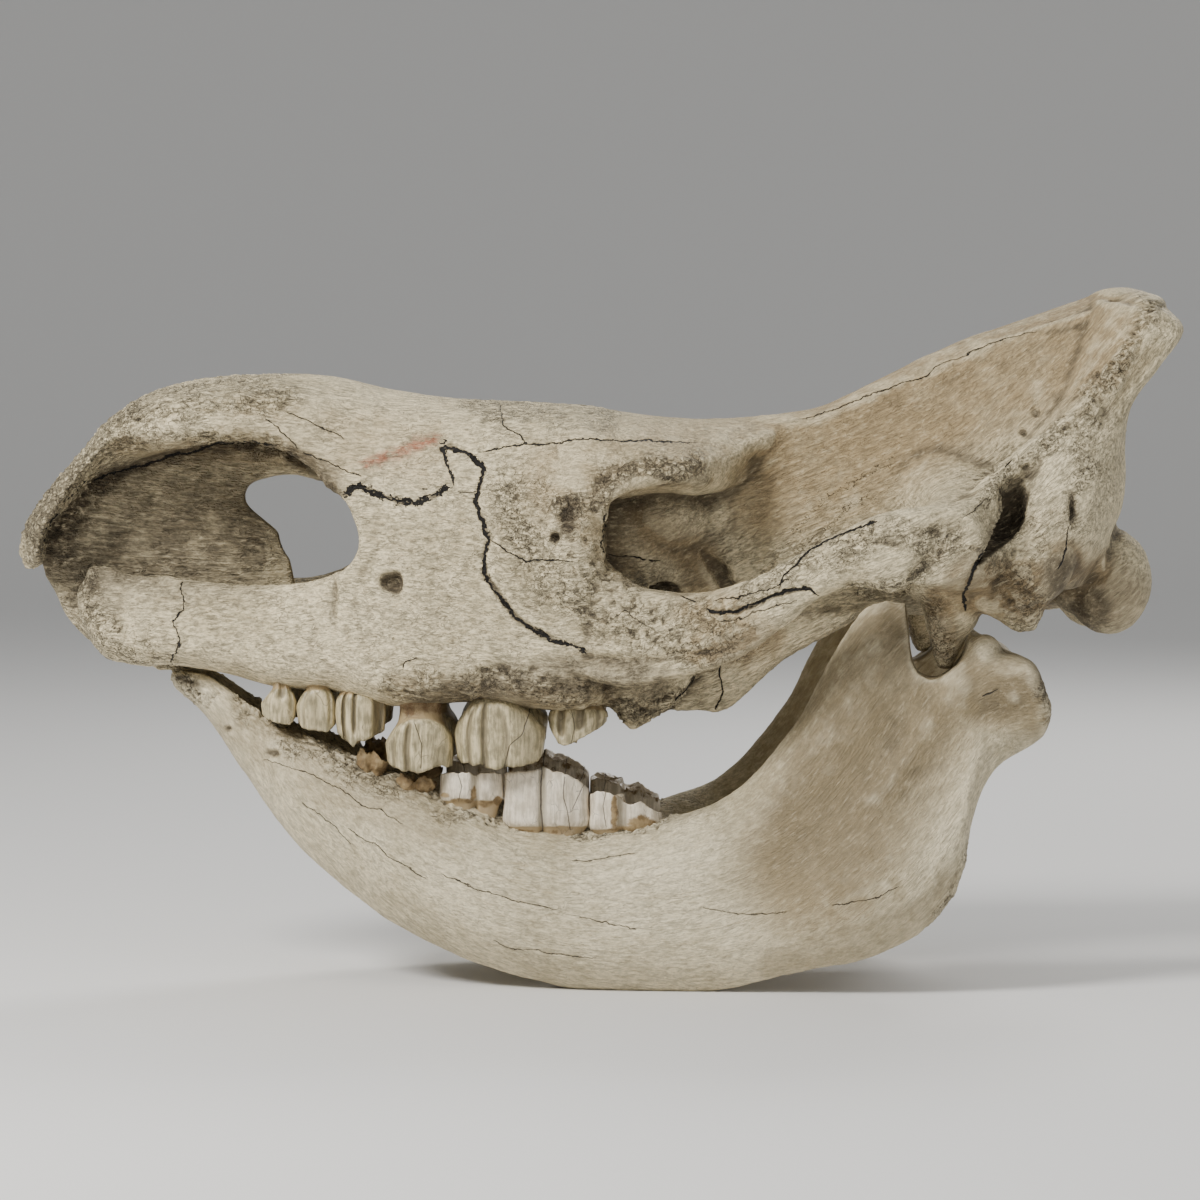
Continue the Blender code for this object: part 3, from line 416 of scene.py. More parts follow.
# Grooves (negative) and low ridges: height and half width in millimetres, then the path
SKULL_STROKES = [
    (-2.2, 2.2, NOSE_SUTURE), (-1.8, 2.2, FACE_SUTURE), (-1.2, 3.5, FACE_SUTURE[13:]),
    (3.0, 8, [(552, 632), (600, 648), (650, 650), (700, 645), (750, 625)]),
    (-2.2, 12, [(450, 690), (500, 676), (560, 668), (620, 676), (660, 684)]),
    (1.3, 5, [(610, 575), (640, 596), (700, 600), (760, 580), (820, 548)]),
    (1.0, 8, [(706, 494), (722, 472), (744, 451), (772, 436), (805, 424)]),
    (-2.4, 14, [(1040, 448), (1026, 472), (1014, 496), (1004, 520), (990, 548)]),
    (1.3, 3, [(222, 503), (245, 524), (267, 540), (270, 561), (264, 582)]),
    (-1.5, 5, [(44, 545), (65, 501), (84, 482), (116, 473), (151, 462), (190, 452), (246, 441),
        (285, 447)]),
    (-1.2, 6, [(715, 520), (722, 550), (728, 580)]),
    (1.6, 6, [(722, 490), (716, 530), (728, 556), (744, 590)]),
    (-2.6, 2.2, [
        (700, 606), (712, 612), (735, 612), (750, 607), (772, 596), (790, 591), (810, 589), (822, 598)]),
    (1.4, 5, [(860, 530), (900, 518), (950, 515), (985, 500)]),
    (-1.0, 4, [(870, 545), (905, 535), (945, 532)]),
    (1.4, 4, [(560, 500), (556, 520), (552, 535)]),
    (-1.1, 3, [(1003, 470), (1050, 440), (1090, 405), (1125, 365), (1150, 330)]),
    (1.5, 5, [(150, 590), (230, 592), (300, 590), (345, 577), (368, 545), (366, 520)]),
]
JAW_STROKES = [
    (3.6, 13, [(978, 655), (958, 686), (936, 716), (912, 750), (885, 790), (850, 830)]),
    (0.9, 6, [(968, 855), (940, 905), (900, 940)]),
    (-0.8, 5, [(870, 850), (895, 880), (905, 910)]),
    (0.8, 5, [(855, 640), (830, 690), (800, 740), (760, 790)]),
    (-1.6, 14, [(898, 580), (898, 650), (900, 700), (894, 740), (884, 780)]),
    (0.7, 3, [(930, 860), (935, 885), (925, 905)]),
]

# Rough patches: kind, height and size of the grain in millimetres, half width, then the path
SKULL_ROUGH = [
    ("pebbles", 1.2, 4.5, 24, [(30, 530), (50, 495), (75, 462), (98, 432), (124, 406)]),
    ("crumbs", 1.0, 5, 40, [(60, 500), (110, 440), (160, 402), (220, 386), (270, 388)]),
    ("crumbs", 0.6, 6, 26, [(480, 398), (540, 404), (600, 412)]),
    ("crumbs", 1.2, 6, 30, [(25, 560), (50, 540), (90, 480)]),
    ("pebbles", 1.0, 6, 20, [(560, 515), (585, 496), (605, 482), (640, 470), (700, 466)]),
    ("crumbs", 0.9, 5, 44, [(520, 500), (560, 580), (640, 630), (730, 630)]),
    ("crumbs", 0.8, 5, 22, [(740, 610), (800, 560), (880, 535), (950, 540)]),
    ("crumbs", 1.4, 6, 24, [(572, 548), (596, 580), (632, 606), (672, 636)]),
    ("crumbs", 1.2, 5, 17, [(570, 500), (572, 530)]),
    ("crumbs", 1.6, 7, 24, [(395, 690), (450, 684), (520, 684), (600, 696)]),
    ("crumbs", 1.8, 7, 17, [(1150, 312), (1125, 360), (1095, 400), (1060, 432), (1020, 460), (985, 492)]),
    ("crumbs", 0.5, 7, 16, [(1090, 420), (1080, 470), (1070, 530)]),
    ("crumbs", 1.2, 7, 34, [(1040, 510), (1005, 570), (1030, 615)]),
    ("crumbs", 1.2, 6, 12, [(121, 440), (200, 442), (270, 447), (315, 466), (340, 490)]),
    ("crumbs", 1.1, 7, 26, [(82, 575), (88, 620), (115, 655), (165, 664)]),
    ("crumbs", 2.6, 5, 18, [(618, 712), (640, 722), (668, 706)]),
    ("crumbs", 1.0, 6, 13, [(850, 588), (900, 593), (930, 562), (975, 552)]),
    ("crumbs", 0.9, 5, 18, [(930, 600), (945, 665)]),
]
JAW_ROUGH = [
    ("crumbs", 2.0, 4, 16, [(172, 672), (190, 684), (212, 694)]),
    ("crumbs", 2.2, 4.5, 9, [(240, 697), (300, 735), (370, 762), (440, 795), (505, 822), (600, 834),
        (670, 818)]),
    ("crumbs", 0.7, 6, 22, [(250, 712), (310, 748), (380, 780), (450, 810)]),
    ("crumbs", 0.9, 7, 11, [(974, 850), (958, 900), (912, 948)]),
    ("crumbs", 0.8, 6, 18, [(1046, 690), (1050, 715)]),
]

# Dark seams and cracks in three sets: half width and raggedness in millimetres, then the path
SKULL_SEAMS = [
    [
        (1.9, 3.4, NOSE_SUTURE),
        (0.45, 1.0, [
            (477, 454), (495, 449), (525, 444), (545, 445), (570, 440), (600, 440), (645, 441),
            (700, 443)]),
        (0.45, 0.8, [(489, 538), (505, 550), (527, 561), (545, 559), (575, 562)]),
        (0.5, 1.2, [
            (182, 580), (180, 590), (183, 600), (184, 609), (174, 618), (170, 622), (178, 630), (181, 645),
            (178, 650), (170, 664)]),
        (0.3, 0.8, [(262, 418), (280, 430), (290, 440), (300, 452)]),
        (1.0, 1.0, [
            (703, 606), (712, 611), (722, 613), (735, 611), (750, 606), (762, 600), (772, 595), (790, 590),
            (810, 588), (820, 597)]),
        (0.5, 0.5, [(720, 665), (722, 690), (715, 711)]),
        (0.25, 0.8, [
            (800, 420), (840, 408), (880, 391), (925, 377), (935, 368), (965, 355), (1000, 340),
            (1040, 330)]),
    ],
    [
        (1.3, 1.9, FACE_SUTURE),
        (0.25, 0.5, [(500, 403), (503, 425), (520, 435), (525, 445)]),
        (0.3, 0.8, [(285, 410), (300, 417), (315, 425), (330, 432), (345, 440)]),
        (0.7, 0.8, [
            (778, 590), (785, 577), (797, 563), (810, 550), (835, 536), (865, 526), (880, 518)]),
        (0.4, 0.5, [(697, 673), (690, 685), (675, 703)]),
        (0.4, 0.4, [(1003, 468), (1013, 460)]),
        (0.4, 0.6, [(1070, 525), (1067, 545), (1063, 560), (1058, 570)]),
        (0.2, 6.0, [(788, 542), (812, 510), (838, 491), (862, 478), (882, 466), (902, 452)]),
    ],
    [
        (0.25, 0.6, [(455, 491), (465, 494), (477, 492)]),
        (0.35, 1.2, [(712, 601), (740, 598), (762, 590), (792, 580)]),
        (0.25, 1.2, [(716, 621), (742, 618), (772, 606), (800, 600)]),
        (0.3, 0.8, [(300, 452), (320, 458), (345, 470), (365, 478)]),
        (0.4, 0.6, [(400, 670), (405, 662), (418, 658)]),
        (0.35, 0.6, [(604, 553), (640, 558), (660, 562)]),
        (0.7, 2.4, [(607, 512), (604, 530), (602, 545), (605, 555)]),
        (1.0, 0.8, [(987, 546), (979, 560), (972, 572), (967, 588), (964, 602), (966, 612)]),
        (0.4, 0.4, [(680, 595), (690, 599), (697, 603)]),
        (0.18, 5.0, [(806, 560), (826, 530), (850, 505), (876, 494)]),
        (0.8, 1.2, [
            (40, 557), (46, 532), (65, 501), (84, 482), (116, 473), (151, 462), (190, 452), (218, 443),
            (246, 441), (281, 446)]),
        (0.25, 0.5, [(960, 520), (975, 512), (985, 500)]),
        (0.2, 0.8, [(610, 620), (625, 610), (640, 622), (655, 630)]),
    ],
]
JAW_SEAMS = [
    [
        (0.22, 0.8, [
            (262, 760), (300, 770), (320, 778), (340, 790), (362, 805), (380, 810), (405, 825)]),
        (0.22, 0.8, [(440, 873), (460, 881), (480, 890), (500, 895), (520, 901), (560, 909)]),
        (0.3, 0.4, [(980, 698), (998, 688)]),
        (0.2, 0.8, [(830, 905), (870, 900), (900, 888)]),
    ],
    [
        (0.22, 0.8, [(345, 826), (360, 837), (375, 845), (390, 857), (410, 868), (428, 879)]),
        (0.2, 0.8, [(490, 940), (510, 948), (545, 952), (570, 956), (600, 958)]),
        (0.2, 0.8, [(570, 860), (590, 860), (640, 853)]),
    ],
    [
        (0.2, 0.8, [(575, 917), (600, 921), (640, 930)]),
        (0.18, 0.8, [(300, 800), (330, 822), (352, 846)]),
        (0.2, 0.8, [(700, 905), (740, 915), (790, 912)]),
    ],
]

# Stains and painted shade: strength, half width, then the path
# Brown stain of the temples and face; it also paints shade on the ear lobe, knuckle, jaw stop, under the arch
# and in the orbit
SKULL_TAN_AND_SHADE = [
    (1.0, 44, [(975, 590), (1030, 590)]), (0.9, 44, [(1070, 570), (1120, 600)]),
    (0.8, 26, [(700, 650), (770, 640)]), (0.9, 95, [(800, 470), (880, 430), (980, 375), (1080, 330)]),
    (0.8, 60, [(770, 500), (860, 480)]), (0.7, 40, [(700, 600), (760, 650)]),
    (0.8, 30, [(640, 520), (700, 560)]), (0.9, 24, [(940, 600), (945, 660)]),
    (0.5, 30, [(560, 500), (620, 560)]), (0.45, 26, [(400, 690), (600, 700)]),
    (0.5, 60, [(560, 480), (760, 440)]), (0.5, 16, [(120, 445), (300, 455), (340, 488)]),
    (0.35, 50, [(250, 430), (420, 450)]),
]
# Brown stain of the jaw, which also paints the shade on its back branch
JAW_TAN_AND_SHADE = [
    (0.5, 40, [(240, 720), (330, 780), (430, 820)]), (1.0, 125, [(900, 690), (850, 780), (820, 860)]),
    (1.0, 54, [(860, 610), (960, 690), (1040, 700)]), (0.5, 30, [(780, 965), (880, 950), (950, 890)]),
]
SKULL_RED = [(1.0, 7, [(366, 464), (400, 452), (436, 438)])]
# Painted shade: darker patches in pits and holes, in clefts, inside the nose and under overhangs
SKULL_PAINTED_SHADE = [
    (0.75, 32, [(430, 704), (500, 688), (560, 678), (650, 682)]),
    (0.35, 14, [(965, 560), (950, 590), (930, 600)]), (0.85, 12, [(572, 500), (566, 530)]),
    (0.5, 12, [(1014, 496), (1004, 518), (990, 542)]), (0.4, 34, [(985, 575), (1022, 600)]),
    (0.8, 95, [(90, 545), (220, 525)]), (0.6, 15, [(60, 510), (110, 474), (190, 455), (270, 450)]),
    (0.8, 13, [(292, 456), (315, 466), (336, 487)]), (0.5, 9, [(242, 498), (262, 515), (284, 540),
        (288, 575)]),
    (0.3, 12, [(700, 480), (712, 500)]), (0.5, 9, [(700, 545), (724, 582)]),
    (0.6, 12, [(622, 578), (690, 590)]), (0.35, 60, [(640, 560), (700, 560)]),
    (0.9, 38, [(1064, 574), (1088, 610)]), (0.4, 60, [(1095, 590), (1120, 600)]),
    (0.5, 30, [(915, 610), (950, 650)]), (0.4, 26, [(720, 655), (760, 640)]),
    (0.8, 3.5, [(355, 602), (356, 603)]), (0.8, 3.5, [(317, 631), (318, 632)]),
    (0.8, 3.5, [(216, 406), (217, 407)]), (0.8, 3.5, [(121, 631), (122, 632)]),
    (0.8, 3.5, [(160, 620), (161, 621)]), (0.8, 3.5, [(330, 665), (331, 666)]),
    (0.5, 20, [(625, 705), (650, 715)]), (0.5, 9, [(330, 465), (342, 492)]),
    (0.4, 10, [(440, 700), (520, 698), (600, 706)]), (0.6, 13, [(980, 556), (966, 590)]),
    (0.6, 7, [(1073, 495), (1073, 520)]), (0.8, 5, [(554, 538), (555, 539)]),
    (0.8, 4, [(1035, 413), (1036, 414)]), (0.8, 3, [(1023, 433), (1024, 434)]),
    (0.6, 5, [(396, 575), (397, 595)]), (0.4, 16, [(25, 572), (60, 612), (84, 640)]),
]
# Painted shade of the jaw: in its pits and holes, the notch, on its back branch and along the line under the
# teeth
JAW_PAINTED_SHADE = [
    (0.45, 26, [(895, 610), (898, 680)]), (0.45, 30, [(1000, 700), (1030, 690)]),
    (0.2, 50, [(950, 680), (1010, 660)]), (0.30, 100, [(890, 700), (830, 820)]),
    (0.7, 8, [(180, 678), (198, 686)]), (0.8, 4, [(268, 752), (278, 755)]),
    (0.7, 3, [(227, 729), (229, 730)]), (0.4, 8, [(352, 766), (440, 798)]),
    (0.35, 8, [(660, 822), (720, 802)]),
]

# Crowns of the upper cheek teeth. neck and belly: v, front u, back u. arch: how much lower the enamel
# starts at the corners. edge: the biting edge from front to back. grooves: (u, half width, depth in
# millimetres, from share, to share of the way to the edge) on the outer side. reach: outer and inner w
UPPER_CROWNS = {
    "premolar_2": {
        "root": 672, "neck": (689, 270, 293), "belly": (704, 261.5, 296.8), "arch": 3, "reach": (59, 34),
        "edge": [(262, 714), (267, 719), (274, 722), (282, 724), (290, 725), (296, 717)],
        "grooves": [(280, 4.5, 3.0, 0.1, 0.66), (267, 2.5, 0.8, 0.5, 1.2), (291, 2.5, 0.9, 0.3, 0.9)],
    },
    "premolar_3": {
        "root": 674, "neck": (690, 303, 333), "belly": (707, 296.5, 336.8), "arch": 3, "reach": (65, 34),
        "edge": [(298, 722), (302, 728), (309, 730), (318, 731), (328, 732), (336, 724)],
        "grooves": [(303, 2.4, 1.6, 0.3, 1.2), (316, 9, 1.3, 0.5, 1.2), (330, 2.4, 1.3, 0.3, 1.0)],
    },
    "premolar_4": {
        "root": 678, "neck": (694, 338, 384), "belly": (714, 335, 386), "arch": 2, "reach": (72, 36),
        "edge": [(337, 732), (343, 739), (348, 742), (353, 747), (358, 741), (364, 741), (374, 736),
            (385, 730)],
        "grooves": [(343.3, 1.9, 4.2, 0.3, 1.2), (354, 2.0, 4.2, 0.25, 0.95), (379, 5, 6.0, 0.2, 1.2)],
    },
    "molar_1": {
        "root": 684, "neck": (719, 394, 448), "belly": (742, 386, 454), "arch": 9, "reach": (85, 38),
        "edge": [
            (387, 761), (392, 767), (399, 769), (405, 772), (410, 771), (418, 774), (426, 771), (434, 768),
            (442, 765), (448, 767), (453, 766)],
        "grooves": [
            (393, 2.2, 2.4, 0.6, 1.2), (407, 3.2, 3.4, 0.42, 1.2), (417, 2.4, 1.4, 0.45, 0.9),
            (441, 7, 1.3, 0.75, 1.3)],
    },
    "molar_2": {
        "root": 680, "neck": (699, 471, 519), "belly": (732, 455, 545), "arch": 3, "reach": (92, 40),
        "edge": [
            (457, 758), (462, 763), (468, 763), (473, 766), (480, 764), (487, 768), (496, 770), (504, 767),
            (515, 767), (528, 765), (538, 761), (544, 752)],
        "grooves": [
            (468.5, 2.4, 2.8, 0.5, 1.2), (484, 3.4, 3.8, 0.45, 1.2), (506, 3.2, 2.4, 0.55, 1.2),
            (498, 3.0, 1.2, 0.3, 0.7), (529, 9, 1.3, 0.4, 1.2)],
    },
    "molar_3": {
        "root": 690, "neck": (709, 550, 607), "belly": (722, 548, 608), "arch": 2, "reach": (88, 42),
        "edge": [
            (549, 726), (553, 734), (558, 743), (564, 746), (570, 744), (575, 742), (584, 737), (594, 731),
            (601, 727), (607, 721)],
        "grooves": [(561, 3.8, 4.8, 0.2, 0.92), (580, 4.6, 4.2, 0.2, 0.90), (598, 3.0, 2.2, 0.2, 1.2)],
    },
}
LOWER_CROWNS = {
    "premolar_3": {
        "root": 790, "neck": (768, 358, 386), "belly": (758, 356.5, 388), "arch": 0, "reach": (66, 42),
        "edge": [(356, 756), (361, 748), (365, 752), (371, 754), (375, 751), (381, 760), (388, 764)],
        "grooves": [(371, 4, 3.0, 0.1, 1.2)], "stump": 1.0,
    },
    "premolar_4": {
        "root": 808, "neck": (790, 398, 434), "belly": (784, 396.5, 436), "arch": 0, "reach": (72, 44),
        "edge": [(396, 780), (401, 773), (408, 779), (414, 782), (421, 776), (428, 778), (436, 783)],
        "grooves": [(415, 4, 3.0, 0.1, 1.2)], "stump": 1.0,
    },
    "molar_1": {
        "root": 824, "neck": (800, 440.5, 503), "belly": (785, 440, 503.6), "arch": 0, "reach": (77, 46),
        "edge": [(440, 774), (448, 772.5), (458, 773), (470, 772), (475, 776), (480, 773), (491, 772),
            (503, 774)],
        "grooves": [(475.5, 3.4, 5.0, 0.1, 1.2), (458, 9, 0.8, 0.6, 1.2)],
    },
    "molar_2": {
        "root": 850, "neck": (826, 504.5, 588.5), "belly": (800, 504, 589), "arch": 0, "reach": (79, 47),
        "edge": [
            (504, 773), (512, 772), (530, 771), (541, 768), (545, 765), (552, 772), (560, 772), (570, 776),
            (580, 781), (589, 789)],
        "grooves": [(541.5, 2.6, 4.8, 0.1, 1.2), (573, 6, 1.2, 0.3, 1.2), (521, 8, 0.8, 0.5, 1.2)],
    },
    "molar_3": {
        "root": 850, "neck": (829, 589.5, 662), "belly": (812, 589.5, 662), "arch": 0, "reach": (80, 48),
        "edge": [
            (589.5, 795), (597, 791), (606, 792), (614, 795), (620, 797), (626, 805), (634, 804),
            (641, 801), (648, 807), (656, 811), (662, 813)],
        "grooves": [(622, 4.4, 5.0, 0.1, 1.2), (604, 4, 0.9, 0.3, 1.2), (645, 5, 1.2, 0.3, 1.2)],
    },
}
# Brown ground-in places between and under the lower crowns: u, v, half width, half height
BROWN_PATCHES = [
    (445, 795, 6, 3.5), (460, 801, 12, 3.5), (474, 794, 3, 8), (486, 804, 9, 4), (498, 801, 5, 5),
    (614, 812, 4, 20), (640, 823, 18, 7), (628, 829, 18, 4), (530, 832, 34, 2.5), (418, 707, 34, 8),
    (395, 706, 10, 8), (440, 707, 14, 8),
]
# Rings of the worn biting face: share of the crown's size, depth in millimetres, how brown
BITING_FACE = [(0.95, 0.2, 0.0), (0.87, 1.2, 0.3), (0.7, 2.4, 0.5), (0.4, 2.8, 0.5), (0.1, 1.6, 0.5)]
# Shares of a crown's height, counted from the tip of the root
MID_ROOT = 0.31
NECK_SHARE = 0.37
BELLY_SHARE = 0.72
# How square a crown is from above, how long its chips are in picture points, and how big its grain is
CROWN_SQUARENESS = 2.9
CHIP_LENGTH = 3.2
CROWN_GRAIN = 3.5 * MM
CROWN_RING = 144
CROWN_LEVELS = 32
# The noise that roughens the crowns differs from run to run unless it is given a seed
CROWN_SEED = 7
# Dark splits of the crowns: half width and raggedness in millimetres, then the path
CROWN_SPLITS = [
    (0.45, 0.3, [(542, 768), (541, 785), (541, 805), (543, 830)]),
    (0.25, 0.4, [(565, 777), (563, 795), (567, 808), (570, 828)]),
    (0.25, 0.4, [(584, 784), (578, 797), (572, 810)]),
    (0.25, 0.3, [(531, 708), (522, 735), (510, 745), (504, 768)]),
    (0.2, 0.3, [(415, 724), (422, 745), (421, 768)]), (0.2, 0.3, [(606, 792), (603, 806), (606, 826)]),
    (0.2, 0.3, [(572, 712), (575, 728), (571, 744)]), (0.2, 0.3, [(458, 774), (462, 786), (459, 800)]),
]

# The studio's floor: how many sides it has, and how many steps its upturned rim
FLOOR_SIDES = 96
RIM_STEPS = 12


def spot(u, v, w):
    """Where picture point (u, v) lies when it is w millimetres to the left of the mid-plane."""
    focal = VIEW_DISTANCE / (PIXEL * math.cos(VIEW_TILT))
    across = (u - VIEW_MIDDLE) / focal
    down = (v - VIEW_MIDDLE) / focal
    ahead = math.cos(VIEW_TILT) - down * math.sin(VIEW_TILT)
    lift = -math.sin(VIEW_TILT) - down * math.cos(VIEW_TILT)
    reach = (VIEW_DISTANCE - w * MM) / ahead
    return Vector((reach * across - CENTRE_SHIFT, -w * MM, VIEW_HEIGHT + reach * lift))


def mirrored_spot(u, v, w):
    """As spot, but the right side mirrors the left one."""
    place = spot(u, v, abs(w))
    return Vector((place.x, math.copysign(place.y, -w), place.z))


def picture_points(places):
    """The (u, v) of places, which is what spot undoes, with both sides read as the left one."""
    focal = VIEW_DISTANCE / (PIXEL * math.cos(VIEW_TILT))
    ahead = VIEW_DISTANCE - np.abs(places[:, 1])
    rise = (places[:, 2] - VIEW_HEIGHT) / ahead
    sine, cosine = math.sin(VIEW_TILT), math.cos(VIEW_TILT)
    down = -(sine + rise * cosine) / (cosine - rise * sine)
    reach = ahead / (cosine - down * sine)
    across = (places[:, 0] + CENTRE_SHIFT) / reach
    return np.column_stack([VIEW_MIDDLE + across * focal, VIEW_MIDDLE + down * focal])


def curve_through(rows, steps, cyclic=False):
    """Rows of a smooth curve through the given rows, with steps to each span."""
    rows = np.asarray(rows, float)
    closed = np.concatenate([rows, rows[:1]]) if cyclic else rows
    flat = closed.reshape(len(closed), -1)
    chord = np.maximum(np.linalg.norm(np.diff(flat, axis=0), axis=1), 1e-9)[:, None]
    slope = np.diff(flat, axis=0) / chord
    tangent = np.empty_like(flat)
    weight = chord[1:] + chord[:-1]
    tangent[1:-1] = (slope[:-1] * chord[1:] + slope[1:] * chord[:-1]) / weight
    if cyclic:
        seam = (slope[-1] * chord[0] + slope[0] * chord[-1]) / (chord[0] + chord[-1])
        tangent[0] = tangent[-1] = seam
    else:
        tangent[0], tangent[-1] = slope[0], slope[-1]
    found = []
    for i in range(len(chord)):
        for s in range(steps):
            t = s / steps
            h = chord[i]
            found.append(
                (1 + 2 * t) * (1 - t) ** 2 * flat[i]
                + t * (1 - t) ** 2 * h * tangent[i]
                + t * t * (3 - 2 * t) * flat[i + 1]
                - t * t * (1 - t) * h * tangent[i + 1]
            )
    if not cyclic:
        found.append(flat[-1])
    return np.array(found).reshape((-1, *rows.shape[1:]))


def height_at(outline, u):
    """The v of a smooth outline at u."""
    line = curve_through(outline, 4)
    return float(np.interp(u, line[:, 0], line[:, 1]))


def between(table, key):
    """The row of a table at a key, worked out from its neighbours where it has none."""
    keys = sorted(table)
    rows = np.array([table[k] for k in keys], float)
    flat = rows.reshape(len(keys), -1)
    found = [float(np.interp(key, keys, flat[:, i])) for i in range(flat.shape[1])]
    return np.array(found).reshape(rows.shape[1:])


def skin(bm, rings, layer=None, values=None):
    """A closed shell: the first ring extruded through the others, with both ends filled.

    Where a layer is given, values holds what each point of each ring stores in it.
    """
    verts = [bm.verts.new(p) for p in rings[0]]
    edges = [bm.edges.new(pair) for pair in zip(verts, verts[1:] + verts[:1])]
    start = edges
    kept = [verts]
    for ring in rings[1:]:
        grown = set(bmesh.ops.extrude_edge_only(bm, edges=edges)["geom"])
        fresh = []
        for vert in verts:
            fresh += [e.other_vert(vert) for e in vert.link_edges if e.other_vert(vert) in grown]
        for vert, place in zip(fresh, ring):
            vert.co = place
        verts = fresh
        kept.append(verts)
        edges = [bm.edges.get(pair) for pair in zip(verts, verts[1:] + verts[:1])]
    bmesh.ops.edgeloop_fill(bm, edges=start)
    bmesh.ops.edgeloop_fill(bm, edges=edges)
    if layer is not None:
        for row, told in zip(kept, values):
            for vert, value in zip(row, told):
                vert[layer] = value


def whole_ring(half):
    """Both sides of a half ring that starts and ends on the mid-line."""
    left = [tuple(p) for p in half]
    right = [(u, v, -w) for u, v, w in reversed(left[1:-1])]
    return left + right


def symmetric_shell(bm, halves, steps=8):
    """A shell across the mid-line, through half rings of (u, v, w)."""
    rings = curve_through([whole_ring(half) for half in halves], steps)
    skin(bm, [[mirrored_spot(*p) for p in curve_through(ring, 5, cyclic=True)] for ring in rings])


def upright(table):
    """Half rings of (u, v, w) from a table of u: (v, w) pairs."""
    return [[(u, v, w) for v, w in table[u]] for u in sorted(table)]


def squircle(count=RING_POINTS, squareness=RING_SQUARENESS):
    """Points of a rounded square of half size 1."""
    points = []
    power = 2 / squareness
    for i in range(count):
        angle = 2 * math.pi * (i + 0.5) / count
        c, s = math.cos(angle), math.sin(angle)
        points.append((math.copysign(abs(c) ** power, c), math.copysign(abs(s) ** power, s)))
    return points


def placed(rings, steps):
    """World places of rings of (u, v, w), with a smooth curve from ring to ring."""
    return [[spot(*p) for p in ring] for ring in curve_through(rings, steps)]


def upright_slab(bm, stations, top, bottom, reach):
    """A shell on one side between two outlines of the side view."""
    rings = []
    for u in stations:
        upper, lower = height_at(top, u), height_at(bottom, u)
        outer, inner = between(reach, u)
        middle_v, half_v = (upper + lower) / 2, (lower - upper) / 2
        middle_w, half_w = (outer + inner) / 2, (outer - inner) / 2
        rings.append([(u, middle_v + half_v * b, middle_w + half_w * a) for a, b in squircle()])
    skin(bm, placed(rings, 4))


def level_lobe(bm, table):
    """A shell through level rings on one side."""
    rings = []
    for v in sorted(table):
        front, back, inner, outer = table[v]
        middle_u, half_u = (front + back) / 2, (back - front) / 2
        middle_w, half_w = (outer + inner) / 2, (outer - inner) / 2
        rings.append([(middle_u + half_u * a, v, middle_w + half_w * b) for a, b in squircle()])
    skin(bm, placed(rings, 6))


def cross_root(bm, table):
    """A shell through rings that face sideways."""
    rings = []
    for w in sorted(table):
        front, back, top, bottom = table[w]
        middle_u, half_u = (front + back) / 2, (back - front) / 2
        middle_v, half_v = (top + bottom) / 2, (bottom - top) / 2
        rings.append([(middle_u + half_u * a, middle_v + half_v * b, w) for a, b in squircle()])
    skin(bm, placed(rings, 6))


def ridge(bm, path, steps=8, sides=12):
    """A rounded ridge along a path of (u, v, w, radius)."""
    run = curve_through(path, steps)
    places = [spot(u, v, w) for u, v, w, _ in run]
    rings = []
    for i, place in enumerate(places):
        along = places[min(i + 1, len(places) - 1)] - places[max(i - 1, 0)]
        side = along.cross(Vector((0, 1, 0))).normalized()
        out = side.cross(along).normalized()
        radius = float(run[i][3]) * MM
        turns = [2 * math.pi * k / sides for k in range(sides)]
        rings.append([place + radius * (math.cos(a) * side + math.sin(a) * out) for a in turns])
    skin(bm, rings)


def lump(bm, place, half_sizes, turn=0.0):
    """An ellipsoid on the left side or the mid-line."""
    scale = Matrix.Diagonal([s * MM for s in half_sizes]).to_4x4()
    matrix = Matrix.Translation(spot(*place)) @ Matrix.Rotation(turn, 4, "Y") @ scale
    bmesh.ops.create_icosphere(bm, subdivisions=4, radius=1.0, matrix=matrix)


def plate(bm, outline, depth, reach):
    """A flat plate across the mid-plane, with a side-view outline read at a depth."""
    places = [spot(u, v, depth) for u, v in curve_through(outline, 3, cyclic=True)]
    skin(bm, [[Vector((p.x, side * reach * MM, p.z)) for p in places] for side in (-1, 1)])


def add_right_side(bm):
    """Adds the mirror image of everything in the mesh."""
    copied = bmesh.ops.duplicate(bm, geom=bm.verts[:] + bm.edges[:] + bm.faces[:])["geom"]
    verts = [g for g in copied if isinstance(g, bmesh.types.BMVert)]
    faces = [g for g in copied if isinstance(g, bmesh.types.BMFace)]
    bmesh.ops.scale(bm, vec=(1, -1, 1), verts=verts)
    bmesh.ops.reverse_faces(bm, faces=faces)


def object_from(bm, name):
    """A new object in the scene from a bmesh, with its faces turned outwards."""
    bmesh.ops.recalc_face_normals(bm, faces=bm.faces)
    mesh = bpy.data.meshes.new(name)
    bm.to_mesh(mesh)
    bm.free()
    made = bpy.data.objects.new(name, mesh)
    bpy.context.scene.collection.objects.link(made)
    return made


def add_fuse(made, voxel):
    """Joins overlapping shells into one skin, made of cells of a size."""
    fuse = made.modifiers.new("Fuse", "REMESH")
    fuse.mode = "VOXEL"
    fuse.voxel_size = voxel


def add_wear(made, turns):
    """Smooths the object's surface a number of times."""
    wear = made.modifiers.new("Wear", "SMOOTH")
    wear.factor = 0.5
    wear.iterations = turns


def add_cut(made, cutter, name):
    """Cuts one object out of another."""
    cut = made.modifiers.new(name, "BOOLEAN")
    cut.operation = "DIFFERENCE"
    cut.object = cutter
    cut.solver = "MANIFOLD"


